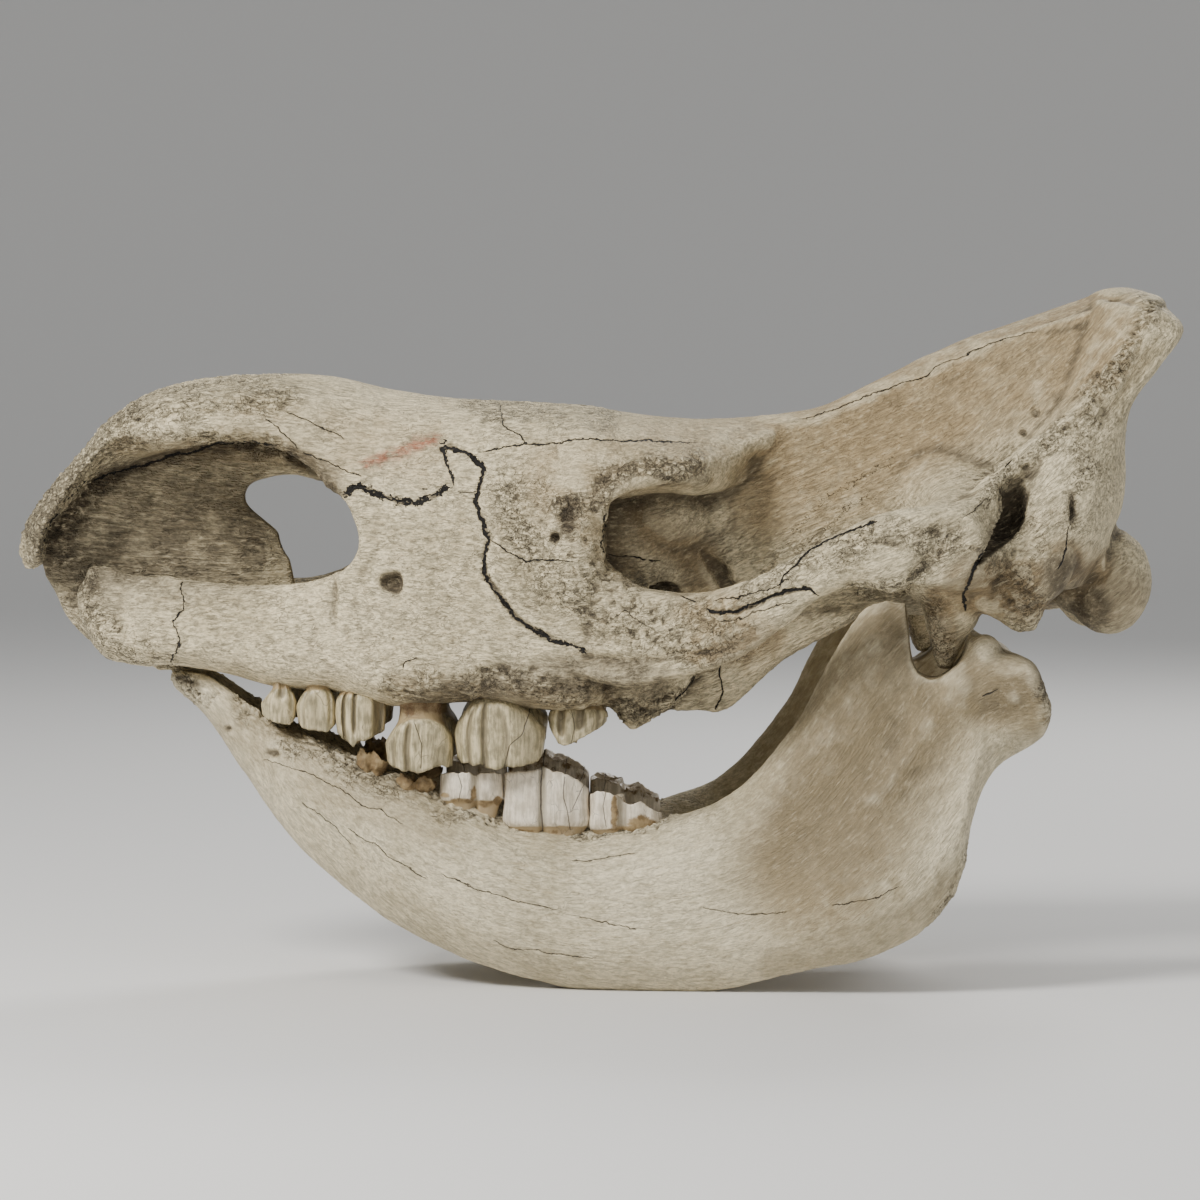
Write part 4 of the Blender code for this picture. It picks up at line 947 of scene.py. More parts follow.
def settle(made, name, *used):
    """The object's evaluated mesh in a fresh object; the old one and its cutters are removed."""
    graph = bpy.context.evaluated_depsgraph_get()
    mesh = bpy.data.meshes.new_from_object(made.evaluated_get(graph))
    mesh.name = name
    for old in (made, *used):
        bpy.data.objects.remove(old)
    settled = bpy.data.objects.new(name, mesh)
    bpy.context.scene.collection.objects.link(settled)
    return settled


def add_thin(made, triangles):
    """Thins the object's mesh to about a number of triangles."""
    count = sum(len(face.vertices) - 2 for face in made.data.polygons)
    thin = made.modifiers.new("Thin", "DECIMATE")
    thin.ratio = min(1.0, triangles / count)
    thin.use_collapse_triangulate = True


def soft_step(low, high, values):
    """0 below low, 1 above high, and a smooth rise between them."""
    t = np.clip((values - low) / (high - low), 0, 1)
    return t * t * (3 - 2 * t)


def path_distance(points, path):
    """Signed distance of picture points to a path, and how far along it they lie, from 0 to 1."""
    path = np.asarray(path, float)
    lengths = np.hypot(*np.diff(path, axis=0).T)
    passed = np.concatenate([[0], np.cumsum(lengths)])
    nearest = np.full(len(points), 1e9)
    signed, along = np.zeros(len(points)), np.zeros(len(points))
    for i, run in enumerate(np.diff(path, axis=0)):
        gone = points - path[i]
        share = np.clip(gone @ run / (run @ run), 0, 1)
        distance = np.hypot(*(gone - share[:, None] * run).T)
        side = np.where(run[0] * gone[:, 1] - run[1] * gone[:, 0] < 0, -1.0, 1.0)
        closer = distance < nearest
        nearest[closer] = distance[closer]
        signed[closer] = (distance * side)[closer]
        along[closer] = ((passed[i] + share * lengths[i]) / passed[-1])[closer]
    return signed, along


def tapered(along, share):
    """0 at both ends of a path and 1 further in than a share of its length."""
    return soft_step(0, share, along) * soft_step(0, share, 1 - along)


def near_path(points, path, half):
    """1 on a path, falling smoothly to 0 at a half width."""
    signed, _ = path_distance(points, path)
    return 1 - soft_step(0.35 * half, half, np.abs(signed))


def stain(points, patches):
    """The strongest of several patches of stain and painted shade at each picture point."""
    found = np.zeros(len(points))
    for strength, half, path in patches:
        found = np.maximum(found, strength * near_path(points, path, half))
    return found


def mesh_arrays(mesh):
    """Places and normals of a mesh's points."""
    count = len(mesh.vertices)
    places, normals = np.empty(count * 3), np.empty(count * 3)
    mesh.vertices.foreach_get("co", places)
    mesh.vertex_normals.foreach_get("vector", normals)
    return places.reshape(-1, 3), normals.reshape(-1, 3)


def grain(kind, place):
    """The height of a grain of bone at a place measured in grains, from about -1 to 1."""
    if kind == "pebbles":
        return 1.1 - 2.4 * noise.voronoi(place)[0][0]
    return noise.fractal(place, 0.6, 2.2, 4)


def side_view(mesh):
    """A search tree of the mesh, and which of its points show from their own side."""
    places, normals = mesh_arrays(mesh)
    faces = [tuple(face.vertices) for face in mesh.polygons]
    tree = BVHTree.FromPolygons([tuple(p) for p in places], faces)
    outward = np.where(places[:, 1] < 0, -1.0, 1.0)
    facing = normals[:, 1] * outward
    shows = np.zeros(len(places))
    for i in np.nonzero(facing > 0.02)[0]:
        start = Vector(places[i] + normals[i] * RAY_START * MM)
        if tree.ray_cast(start, Vector((0, outward[i], 0)), RAY_REACH)[0] is None:
            shows[i] = 1.0
    return tree, shows


def wandering(points, places, reach=15):
    """Picture points moved about a little, so that a zone around them gets a natural border."""
    moves = []
    for place in places:
        here = Vector(place) / WANDER_SIZE
        moves.append([noise.noise(here), noise.noise(here + WANDER_APART)])
    return points + reach * np.array(moves)


def sculpt(made, swellings, nape, strokes, rough, unevenness):
    """Moves the points of a bone along their normals into its swellings, ridges and rough patches."""
    mesh = made.data
    places, normals = mesh_arrays(mesh)
    points = picture_points(places)
    _, shows = side_view(mesh)
    height = np.zeros(len(places))
    for u, v, wide, tall, rise in swellings:
        away = ((points[:, 0] - u) / wide) ** 2 + ((points[:, 1] - v) / tall) ** 2
        height += rise * np.exp(-FALL_OFF * away) * (away < 4) * shows
    behind = soft_step(0.3, 0.6, normals[:, 0]) * (places[:, 0] > NAPE_FROM)
    for side, up, wide, tall, rise in nape:
        away = ((np.abs(places[:, 1]) / MM - side) / wide) ** 2 + ((places[:, 2] / MM - up) / tall) ** 2
        height += rise * np.exp(-FALL_OFF * away) * (away < 4) * behind
    for rise, half, path in strokes:
        signed, along = path_distance(points, path)
        away = signed * PIXEL / MM / half
        height += rise * np.exp(-FALL_OFF * away**2) * (np.abs(away) < 2.5) * shows * tapered(along, 0.2)
    outer = soft_step(-0.5, -0.1, normals[:, 1] * np.where(places[:, 1] < 0, -1.0, 1.0))
    wandered = wandering(points, places)
    patches = [(kind, rise, size * MM, near_path(wandered, path, half) * np.maximum(outer, shows))
               for kind, rise, size, half, path in rough]
    for i, place in enumerate(places):
        spot_here = Vector(place)
        wave = noise.fractal(spot_here / UNEVEN_SIZE, 0.8, 2.0, 5)
        height[i] += unevenness * wave
        for kind, rise, size, mask in patches:
            if mask[i] > 0.01:
                height[i] += rise * mask[i] * grain(kind, spot_here / size)
    places += normals * (height * MM)[:, None]
    mesh.vertices.foreach_set("co", places.ravel())
    mesh.update()


def put_vectors(mesh, name, *columns):
    """Stores three numbers for each point of a mesh, which a material reads by name."""
    layer = mesh.attributes.new(name, "FLOAT_VECTOR", "POINT")
    layer.data.foreach_set("vector", np.column_stack(columns).astype(np.float32).ravel())


def relief_of(mesh, turns=7):
    """How far each point lies under its smoothed surroundings, in millimetres."""
    places, normals = mesh_arrays(mesh)
    ends = np.empty(len(mesh.edges) * 2, np.int32)
    mesh.edges.foreach_get("vertices", ends)
    one, two = ends[0::2], ends[1::2]
    count = len(places)
    partners = np.bincount(one, minlength=count) + np.bincount(two, minlength=count)
    level = places.copy()
    for _ in range(turns):
        sums = [
            np.bincount(one, level[two, k], count) + np.bincount(two, level[one, k], count) for k in range(3)
        ]
        level = 0.5 * level + 0.5 * np.column_stack(sums) / np.maximum(partners, 1)[:, None]
    return ((level - places) * normals).sum(axis=1) / MM


def shelter_of(mesh, tree, reach=55 * MM, rays=10):
    """How much of each point's surroundings is closed in by bone, from 0 to 1."""
    places, normals = mesh_arrays(mesh)
    turn = math.pi * (3 - math.sqrt(5))
    aims = []
    for k in range(rays):
        rise = 0.25 + 0.7 * (k + 0.5) / rays
        flat = math.sqrt(1 - rise * rise)
        aims.append(Vector((flat * math.cos(k * turn), flat * math.sin(k * turn), rise)))
    closed = np.zeros(len(places))
    for i, (place, normal) in enumerate(zip(places, normals)):
        facing = Vector(normal)
        turned = facing.to_track_quat("Z", "X")
        start = Vector(place) + facing * 0.5 * MM
        for aim in aims:
            hit = tree.ray_cast(start, turned @ aim, reach)
            if hit[0] is not None:
                closed[i] += (1 - hit[3] / reach) / rays
    return np.clip(closed * 1.6, 0, 1)


def fibre_run(points, places, path):
    """How far along a path and off it each point lies, in metres, so that fibres can follow it."""
    path = curve_through(path, FIBRE_STEPS)
    signed, along = path_distance(points, path)
    length = np.hypot(*np.diff(path, axis=0).T).sum()
    return np.column_stack([along * length * PIXEL, places[:, 1], signed * PIXEL])


def mark_bone(made, seams, tan, red, dark, rough, run):
    """Stores a bone's seams, stains, painted shade, relief, shelter and fibres in its mesh for the material.
    """
    mesh = made.data
    places, _ = mesh_arrays(mesh)
    points = picture_points(places)
    tree, shows = side_view(mesh)
    for number, group in enumerate(seams, 1):
        signed = np.full(len(points), FAR_OFF)
        half = np.full(len(points), NO_SEAM)
        ragged = np.zeros(len(points))
        for width, jag, path in group:
            off, along = path_distance(points, path)
            off *= PIXEL / MM
            thin = width * (0.3 + 0.7 * tapered(along, 0.1))
            beyond = (along <= 0) | (along >= 1)
            closer = (np.abs(off) < np.abs(signed)) & (np.abs(off) < SEAM_KNOWN)
            signed[closer] = off[closer]
            ragged[closer] = jag
            told = np.where(beyond | (shows < 0.5) | (np.abs(off) > SEAM_DRAWN), NO_SEAM, thin)
            half[closer] = told[closer]
        put_vectors(mesh, f"seam_{number}", signed, half, ragged)
    grainy, pebbly = np.zeros(len(points)), np.zeros(len(points))
    wandered = wandering(points, places)
    for kind, _, _, wide, path in rough:
        zone = near_path(wandered, path, wide)
        grainy = np.maximum(grainy, zone)
        if kind == "pebbles":
            pebbly = np.maximum(pebbly, zone)
    # The stain attribute holds the brown stain with its painted shade, the red streak, and the painted shade
    # patches
    streak = stain(points, red) * shows * (places[:, 1] < 0)
    put_vectors(mesh, "stain", stain(points, tan), streak, stain(points, dark) * shows)
    put_vectors(mesh, "surface", relief_of(mesh), shelter_of(mesh, tree), grainy)
    put_vectors(mesh, "grains", pebbly, grainy, shows)
    put_vectors(mesh, "fibres", *fibre_run(points, places, run).T)


def finish_piece(made, material, node):
    """Smooth shading, material, and the CAD node that the piece stands for."""
    made.data.materials.clear()
    made.data.materials.append(material)
    made.data.shade_smooth()
    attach(made, "root")
    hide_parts(node)


class Finish:
    """A material being put together, with short ways to add to its nodes."""

    def __init__(self, name):
        self.material = bpy.data.materials.new(name)
        self.material.use_nodes = True
        self.tree = self.material.node_tree
        self.shader = self.tree.nodes["Principled BSDF"]
        self.place = self.node("ShaderNodeTexCoord").outputs["Object"]

    def node(self, kind, inputs=None, **settings):
        """A new node with its settings and what goes into its inputs."""
        made = self.tree.nodes.new(kind)
        for name, value in settings.items():
            setattr(made, name, value)
        for name, value in (inputs or {}).items():
            self.put(made.inputs[name], value)
        return made

    def put(self, socket, value):
        """Links a socket to an output, or sets its value."""
        if isinstance(value, bpy.types.NodeSocket):
            self.tree.links.new(value, socket)
        else:
            socket.default_value = value

    def math(self, operation, *values):
        """What a mathematical operation makes of values."""
        return self.node("ShaderNodeMath", dict(enumerate(values)), operation=operation).outputs[0]

    def rise(self, value, low, high):
        """0 below low and 1 above high."""
        inputs = {"Value": value, "From Min": low, "From Max": high}
        return self.node("ShaderNodeMapRange", inputs, interpolation_type="SMOOTHSTEP").outputs["Result"]

    def mix(self, share, first, second, blend="MIX"):
        """The first colour, with a share of the second."""
        inputs = {"Factor": share, "A": first, "B": second}
        made = self.tree.nodes.new("ShaderNodeMix")
        made.data_type = "RGBA"
        made.blend_type = blend
        for socket in made.inputs:
            if socket.enabled and socket.name in inputs:
                self.put(socket, inputs[socket.name])
        return next(socket for socket in made.outputs if socket.enabled)

    def stretched(self, scale, vector=None):
        """Places scaled along each axis."""
        inputs = {"Vector": vector or self.place, "Scale": scale}
        return self.node("ShaderNodeMapping", inputs).outputs["Vector"]

    def noise(self, scale, detail=4, rough=0.55, vector=None, distort=0.0):
        """A cloudy pattern."""
        inputs = {
            "Vector": vector or self.place, "Scale": scale, "Detail": detail, "Roughness": rough,
            "Distortion": distort,
        }
        return self.node("ShaderNodeTexNoise", inputs).outputs["Fac"]

    def cells(self, scale, feature="F1", vector=None):
        """Distances in a pattern of cells."""
        inputs = {"Vector": vector or self.place, "Scale": scale}
        return self.node("ShaderNodeTexVoronoi", inputs, feature=feature).outputs["Distance"]

    def stored(self, name):
        """The three numbers that each point of the mesh stores under a name."""
        told = self.node("ShaderNodeAttribute", attribute_name=name).outputs["Vector"]
        return self.node("ShaderNodeSeparateXYZ", {"Vector": told}).outputs

    def sum(self, *parts):
        """The sum of (weight, value) pairs."""
        total = None
        for weight, value in parts:
            part = self.math("MULTIPLY", value, weight)
            total = part if total is None else self.math("ADD", total, part)
        return total

    def bump(self, height, depth):
        """Raises the surface by a height, which is counted in depths."""
        made = self.node("ShaderNodeBump", {"Height": height, "Distance": depth, "Strength": 1.0})
        self.put(self.shader.inputs["Normal"], made.outputs["Normal"])


def crack_net(finish, size, width, wander, vector=None):
    """Fine dark lines of a net whose cells are about a size in metres."""
    bends = finish.node("ShaderNodeTexNoise", {"Vector": finish.place, "Scale": 90.0})
    moves = {0: bends.outputs["Color"], "Scale": wander}
    moves = finish.node("ShaderNodeVectorMath", moves, operation="SCALE").outputs[0]
    moved = {0: vector or finish.place, 1: moves}
    moved = finish.node("ShaderNodeVectorMath", moved, operation="ADD").outputs[0]
    edge = finish.cells(1 / size, "DISTANCE_TO_EDGE", moved)
    return finish.math("SUBTRACT", 1.0, finish.rise(edge, width * 0.4, width))


def wrinkles(finish, scale, width, vector=None):
    """Fine meandering creases, 1 in the middle of a crease and 0 between them."""
    wave = finish.noise(scale, 3, 0.6, vector, 0.6)
    off = finish.math("ABSOLUTE", finish.math("SUBTRACT", wave, 0.5))
    return finish.math("SUBTRACT", 1.0, finish.rise(off, 0.0, width))


def bone_finish(name, look):
    """Dry fossil bone: mottled, fibrous and porous, with grime and painted shade in its hollows, painted
    shade patches and dark ragged seams.
    """
    bone = Finish(name)
    broad = bone.noise(11.0, 3)
    middle = bone.noise(60.0, 5, 0.62)
    run = bone.node("ShaderNodeAttribute", attribute_name="fibres").outputs["Vector"]
    along = bone.stretched((0.3, 1.0, 1.0), vector=run)
    coarse = bone.noise(380.0, 4, 0.65, along)
    fine = bone.noise(820.0, 3, 0.60, bone.stretched((0.4, 1.0, 1.0), vector=run))
    fibre = bone.noise(620.0, 3, 0.60, bone.stretched((0.08, 1.0, 1.0), vector=run), 0.3)
    stain = bone.stored("stain")
    surface = bone.stored("surface")
    relief, shelter, grainy = surface[0], surface[1], surface[2]
    patchy = bone.rise(bone.noise(34.0, 4, 0.6), 0.34, 0.60)
    grainy = bone.math("MULTIPLY", grainy, patchy)
    pebbly = bone.stored("grains")[0]
    rough = bone.math("ADD", look.coarseness, bone.math("MULTIPLY", grainy, 0.55))

    tone = bone.rise(bone.sum((0.55, broad), (0.45, middle), (0.30, coarse)), 0.50, 0.78)
    colour = bone.mix(tone, look.shade, look.pale)
    # Brown stain, which over the ear lobe, the knuckle and the jaw's back branch paints shade
    tan_and_shade_mix = bone.math("MULTIPLY", stain[0], bone.rise(bone.sum((0.6, broad), (0.5, middle)), 0.12, 0.62))
    colour = bone.mix(tan_and_shade_mix, colour, look.tan)
    colour = bone.mix(bone.math("MULTIPLY", bone.rise(fibre, 0.50, 0.72), look.fibres), colour, look.tan)
    # Lighter on rises of the surface, which is wear and painted highlight; darker in its hollows, which is
    # settled grime and painted shade
    worn = bone.math("MULTIPLY", bone.rise(relief, -0.05, -0.6), 0.6)
    colour = bone.mix(worn, colour, look.pale)
    hollow_dirt_and_shade = bone.math("MULTIPLY", bone.rise(relief, 0.05, 0.7), 0.7)
    colour = bone.mix(hollow_dirt_and_shade, colour, look.dirt_and_shade)
    # Painted shade where bone closes in around a point, as in deep hollows and under overhangs
    closed = bone.math("MULTIPLY", bone.rise(bone.sum((1.0, shelter), (0.25, middle)), 0.24, 0.95), 0.85)
    colour = bone.mix(closed, colour, look.dirt_and_shade)
    # Painted shade from the shade tables
    painted_shade_patches = bone.math("MULTIPLY", stain[2], bone.sum((0.5, bone.rise(middle, 0.25, 0.60)), (1.0, 0.45)))
    colour = bone.mix(painted_shade_patches, colour, look.dirt_and_shade)
    rubbed = bone.math("MULTIPLY", stain[1], bone.rise(coarse, 0.30, 0.55))
    colour = bone.mix(rubbed, colour, look.red)

    low = bone.math("SUBTRACT", 1.0, bone.rise(coarse, 0.36, 0.50))
    low = bone.math("MULTIPLY", low, bone.sum((0.34, grainy), (0.12, rough)))
    colour = bone.mix(low, colour, look.dirt_and_shade)
    high = bone.math("MULTIPLY", bone.rise(coarse, 0.54, 0.70), rough)
    colour = bone.mix(bone.math("MULTIPLY", high, 0.5), colour, look.pale)
    worm = bone.math("MULTIPLY", wrinkles(bone, 230.0, 0.050, along), bone.rise(middle, 0.34, 0.60))
    worm = bone.math("MULTIPLY", worm, bone.math("SUBTRACT", rough, bone.math("MULTIPLY", tan_and_shade_mix, 0.3)))
    colour = bone.mix(bone.math("MULTIPLY", worm, 0.42), colour, look.dirt_and_shade)
    crease = bone.math("MULTIPLY", wrinkles(bone, 125.0, 0.026), grainy)
    colour = bone.mix(bone.math("MULTIPLY", crease, 0.60), colour, look.dirt_and_shade)
    net = crack_net(bone, 5.5 * MM, 0.13, 0.008)
    cracked = bone.math("MULTIPLY", net, bone.rise(bone.sum((1.0, pebbly), (0.8, middle)), 0.75, 1.2))
    colour = bone.mix(bone.math("MULTIPLY", cracked, 0.55), colour, look.dirt_and_shade)
    # Fine grain darkens the colour in the dips of its bump and lightens it on the rises: the grain's own
    # mottling and painted shade of its relief
    speck = bone.rise(bone.sum((0.30, coarse), (0.40, fine), (0.30, fibre)), 0.41, 0.59)
    calm = bone.math("MULTIPLY", tan_and_shade_mix, 0.45)
    speck = bone.math("MULTIPLY", speck, bone.math("SUBTRACT", 1.0, calm))
    speck = bone.math("ADD", speck, bone.math("MULTIPLY", calm, 0.6))
    grain_tone_and_shading = bone.mix(speck, (*[1 - look.contrast] * 3, 1.0), (*[1 + 0.4 * look.contrast] * 3, 1.0))
    colour = bone.mix(1.0, colour, grain_tone_and_shading, "MULTIPLY")
    pore = bone.math("SUBTRACT", 1.0, bone.rise(bone.cells(430.0), 0.10, 0.34))
    pore = bone.math("MULTIPLY", pore, bone.rise(bone.sum((0.7, middle), (0.5, grainy)), 0.40, 0.80))
    colour = bone.mix(bone.math("MULTIPLY", pore, 0.65), colour, look.dirt_and_shade)

    jitter = bone.math("SUBTRACT", bone.noise(250.0, 3, 0.6), 0.5)
    sway = bone.math("SUBTRACT", bone.noise(75.0, 2, 0.5), 0.5)
    swell = bone.math("ADD", bone.math("MULTIPLY", bone.noise(110.0, 3, 0.6), 2.4), -0.22)
    lines = None
    for number in (1, 2, 3):
        off, half, ragged = bone.stored(f"seam_{number}")
        moved = bone.math("ADD", off, bone.math("MULTIPLY", bone.math("MULTIPLY", jitter, ragged), 4.0))
        moved = bone.math("ADD", moved, bone.math("MULTIPLY", sway, 5.0))
        inside = bone.math("SUBTRACT", bone.math("MULTIPLY", half, swell), bone.math("ABSOLUTE", moved))
        line = bone.rise(inside, -0.25, 0.25)
        lines = line if lines is None else bone.math("MAXIMUM", lines, line)
    colour = bone.mix(lines, colour, look.seam)

    pebble = bone.math("SUBTRACT", 0.6, bone.cells(190.0, "SMOOTH_F1"))
    height = bone.sum(
        (1.8, bone.math("MULTIPLY", coarse, rough)), (0.55, fine), (0.9, fibre), (0.5, middle), (-0.9, worm),
        (0.9, bone.math("MULTIPLY", pebble, pebbly)), (-0.6, pore), (-1.2, crease), (-1.0, cracked),
        (-1.8, lines),
    )
    bone.bump(height, look.bump)
    bone.put(bone.shader.inputs["Base Color"], colour)
    gloss = bone.sum((0.22, middle), (0.20, fine), (0.25, closed))
    bone.put(bone.shader.inputs["Roughness"], bone.math("ADD", gloss, look.roughness))
    bone.shader.inputs["Specular IOR Level"].default_value = 0.35
    return bone.material


def enamel_finish(name, look):
    """Worn enamel: streaked down the crown, grey in its grooves, brown at the neck and where it broke."""
    tooth = Finish(name)
    share, groove, brown = tooth.stored("crown")
    streaks = tooth.noise(520.0, 4, 0.6, tooth.stretched((1.0, 1.0, 0.14)))
    middle = tooth.noise(120.0, 4)
    fine = tooth.noise(700.0, 5, 0.65)
    tone = tooth.rise(tooth.sum((0.6, streaks), (0.5, middle)), 0.42, 0.68)
    colour = tooth.mix(tone, look.shade, look.pale)
    # Greyer and darker in the grooves of the crown: ground-in grime and painted shade
    grey = tooth.rise(tooth.sum((1.0, groove), (2.0, middle), (1.4, streaks)), 2.3, 4.3)
    colour = tooth.mix(tooth.math("MULTIPLY", grey, 0.68), colour, look.groove)
    neck = tooth.rise(tooth.sum((-1.0, share), (0.10, middle), (0.06, streaks)), -0.30, -0.26)
    colour = tooth.mix(tooth.math("MULTIPLY", neck, 0.9), colour, look.neck)
    browned = tooth.rise(tooth.sum((1.0, brown), (1.3, middle), (0.4, fine)), 1.15, 1.50)
    bare = tooth.mix(tooth.rise(middle, 0.38, 0.62), look.neck, look.brown)
    colour = tooth.mix(browned, colour, bare)
    net = crack_net(tooth, 12 * MM, 0.014, 0.005, tooth.stretched((1.0, 1.0, 0.4)))
    net = tooth.math("MULTIPLY", net, tooth.rise(middle, 0.50, 0.60))
    colour = tooth.mix(tooth.math("MULTIPLY", net, 0.45), colour, look.crack)
    off, half, ragged = tooth.stored("split")
    jitter = tooth.math("SUBTRACT", tooth.noise(260.0, 3, 0.6), 0.5)
    moved = tooth.math("ADD", off, tooth.math("MULTIPLY", tooth.math("MULTIPLY", jitter, ragged), 4.0))
    split = tooth.rise(tooth.math("SUBTRACT", half, tooth.math("ABSOLUTE", moved)), -0.2, 0.2)
    colour = tooth.mix(tooth.math("MULTIPLY", split, 0.85), colour, look.crack)
    height = tooth.sum(
        (0.30, streaks), (0.25, fine), (0.3, middle), (-0.3, net), (-1.2, split),
        (1.2, tooth.math("MULTIPLY", browned, fine)), (-0.6, browned),
    )
    tooth.bump(height, look.bump)
    tooth.put(tooth.shader.inputs["Base Color"], colour)
    gloss = tooth.sum((0.20, fine), (0.35, browned), (0.15, grey))
    tooth.put(tooth.shader.inputs["Roughness"], tooth.math("ADD", gloss, look.roughness))
    return tooth.material


def skull_shells():
    """The bones of the cranium as overlapping closed shells."""
    bm = bmesh.new()
    upright_slab(bm, ARCH_STATIONS, ARCH_TOP, ARCH_BOTTOM, ARCH_REACH)
    upright_slab(bm, PTERYGOID_STATIONS, PALATE_EDGE_TOP, PTERYGOID_BOTTOM, PTERYGOID_REACH)
    upright_slab(bm, TUBEROSITY_STATIONS, TUBEROSITY_TOP, TUBEROSITY_BOTTOM, TUBEROSITY_REACH)
    cross_root(bm, ARCH_ROOT)
    level_lobe(bm, EAR_LOBE)
    level_lobe(bm, JAW_STOP)
    for path in (NECK_CREST, TEMPORAL_CREST, BROW, CHEEK_CREST, TEAR_BONE):
        ridge(bm, path)
    lump(bm, *KNUCKLE)
    lump(bm, *KNUCKLE_NECK)
    for place, sizes in CREST_TOP + ORBIT_WALL:
        lump(bm, place, sizes)
    add_right_side(bm)
    symmetric_shell(bm, NASAL_ROOF)
    symmetric_shell(bm, SNOUT_FLOOR)
    symmetric_shell(bm, upright(FACE))
    symmetric_shell(bm, upright(FOREHEAD))
    symmetric_shell(bm, upright(BRAINCASE))
    symmetric_shell(bm, OCCIPUT)
    plate(bm, SEPTUM, 0, SEPTUM_HALF)
    return object_from(bm, "skull_shells")


def skull_hollows(voxel):
    """The nasal passage, the pits and the gap behind the septum, as two cutters."""
    bm = bmesh.new()
    for place, sizes in HOLLOWS:
        lump(bm, place, sizes)
    for path in CLEFTS:
        ridge(bm, path)
    add_right_side(bm)
    hollows = object_from(bm, "skull_hollows")
    add_fuse(hollows, voxel)
    gap = bmesh.new()
    plate(gap, NOSE_HOLE, NOSE_HOLE_DEPTH, NOSE_HOLE_REACH)
    return hollows, object_from(gap, "nose_gap")


def build_cranium(look):
    """The cranium's finished bone, which stands for its CAD node."""
    made = skull_shells()
    add_fuse(made, look.grain)
    hollows, gap = skull_hollows(look.grain)
    add_cut(made, hollows, "Hollows")
    add_cut(made, gap, "Nose gap")
    made = settle(made, "skull_fused", hollows, gap)
    add_fuse(made, look.grain)
    add_wear(made, SKULL_WEAR)
    made = settle(made, "skull_worn")
    sculpt(made, SKULL_SWELLINGS, NAPE_SWELLINGS, SKULL_STROKES, SKULL_ROUGH, look.unevenness / MM)
    add_thin(made, look.triangles)
    made = settle(made, "cranium_bone")
    mark_bone(made, SKULL_SEAMS, SKULL_TAN_AND_SHADE, SKULL_RED, SKULL_PAINTED_SHADE, SKULL_ROUGH, SKULL_FIBRES)
    finish_piece(made, bone_finish("cranium_bone", look), "cranium")


def jaw_branch(bm):
    """One branch of the lower jaw, from beside the chin back to the joint knob."""
    rings = []
    for u in JAW_STATIONS:
        upper, lower = height_at(JAW_TOP, u), height_at(JAW_BOTTOM, u)
        (wt, ht), (wm, hm), (wb, hb) = between(JAW_REACH, u)
        drop = lower - upper
        rim = min(JAW_RIM_SHARE * drop, JAW_RIM_MOST)
        half = [
            (upper, wt), (upper + rim, wt + ht), (upper + drop * 0.5, wm + hm), (lower - rim, wb + hb),
            (lower, wb), (lower - rim, wb - hb), (upper + drop * 0.5, wm - hm), (upper + rim, wt - ht),
        ]
        rings.append([(u, v, w) for v, w in curve_through(half, 6, cyclic=True)])
    skin(bm, placed(rings, 4))


def build_mandible(look):
    """The lower jaw's finished bone, which stands for its CAD node."""
    bm = bmesh.new()
    jaw_branch(bm)
    for path in JAW_RIDGES:
        ridge(bm, path)
    lump(bm, *JAW_CONDYLE, turn=JAW_CONDYLE_TURN)
    lump(bm, *JAW_KNOB)
    add_right_side(bm)
    symmetric_shell(bm, CHIN)
    made = object_from(bm, "jaw_shells")
    add_fuse(made, look.grain)
    notch = bmesh.new()
    plate(notch, JAW_NOTCH, JAW_NOTCH_DEPTH, JAW_NOTCH_REACH)
    notch = object_from(notch, "jaw_notch")
    add_cut(made, notch, "Notch")
    made = settle(made, "jaw_fused", notch)
    add_fuse(made, look.grain)
    add_wear(made, JAW_WEAR)
    made = settle(made, "jaw_worn")
    sculpt(made, JAW_SWELLINGS, [], JAW_STROKES, JAW_ROUGH, look.unevenness / MM)
    floor = bmesh.new()
    matrix = Matrix.Translation((0, 0, -FLOOR_CUT_DEPTH / 2)) @ Matrix.Diagonal((1, 1, FLOOR_CUT_DEPTH, 1))
    bmesh.ops.create_cube(floor, size=1.0, matrix=matrix)
    floor = object_from(floor, "floor_cut")
    add_cut(made, floor, "Standing faces")
    made = settle(made, "jaw_cut", floor)
    add_thin(made, look.triangles)
    made = settle(made, "mandible_bone")
    mark_bone(made, JAW_SEAMS, JAW_TAN_AND_SHADE, [], JAW_PAINTED_SHADE, JAW_ROUGH, JAW_FIBRES)
    finish_piece(made, bone_finish("mandible_bone", look), "mandible")


def brown_at(u, v):
    """How brown a crown is at a picture point."""
    found = 0.0
    for cu, cv, wide, tall in BROWN_PATCHES:
        found = max(found, math.exp(-(((u - cu) / wide) ** 2) - ((v - cv) / tall) ** 2))
    return found


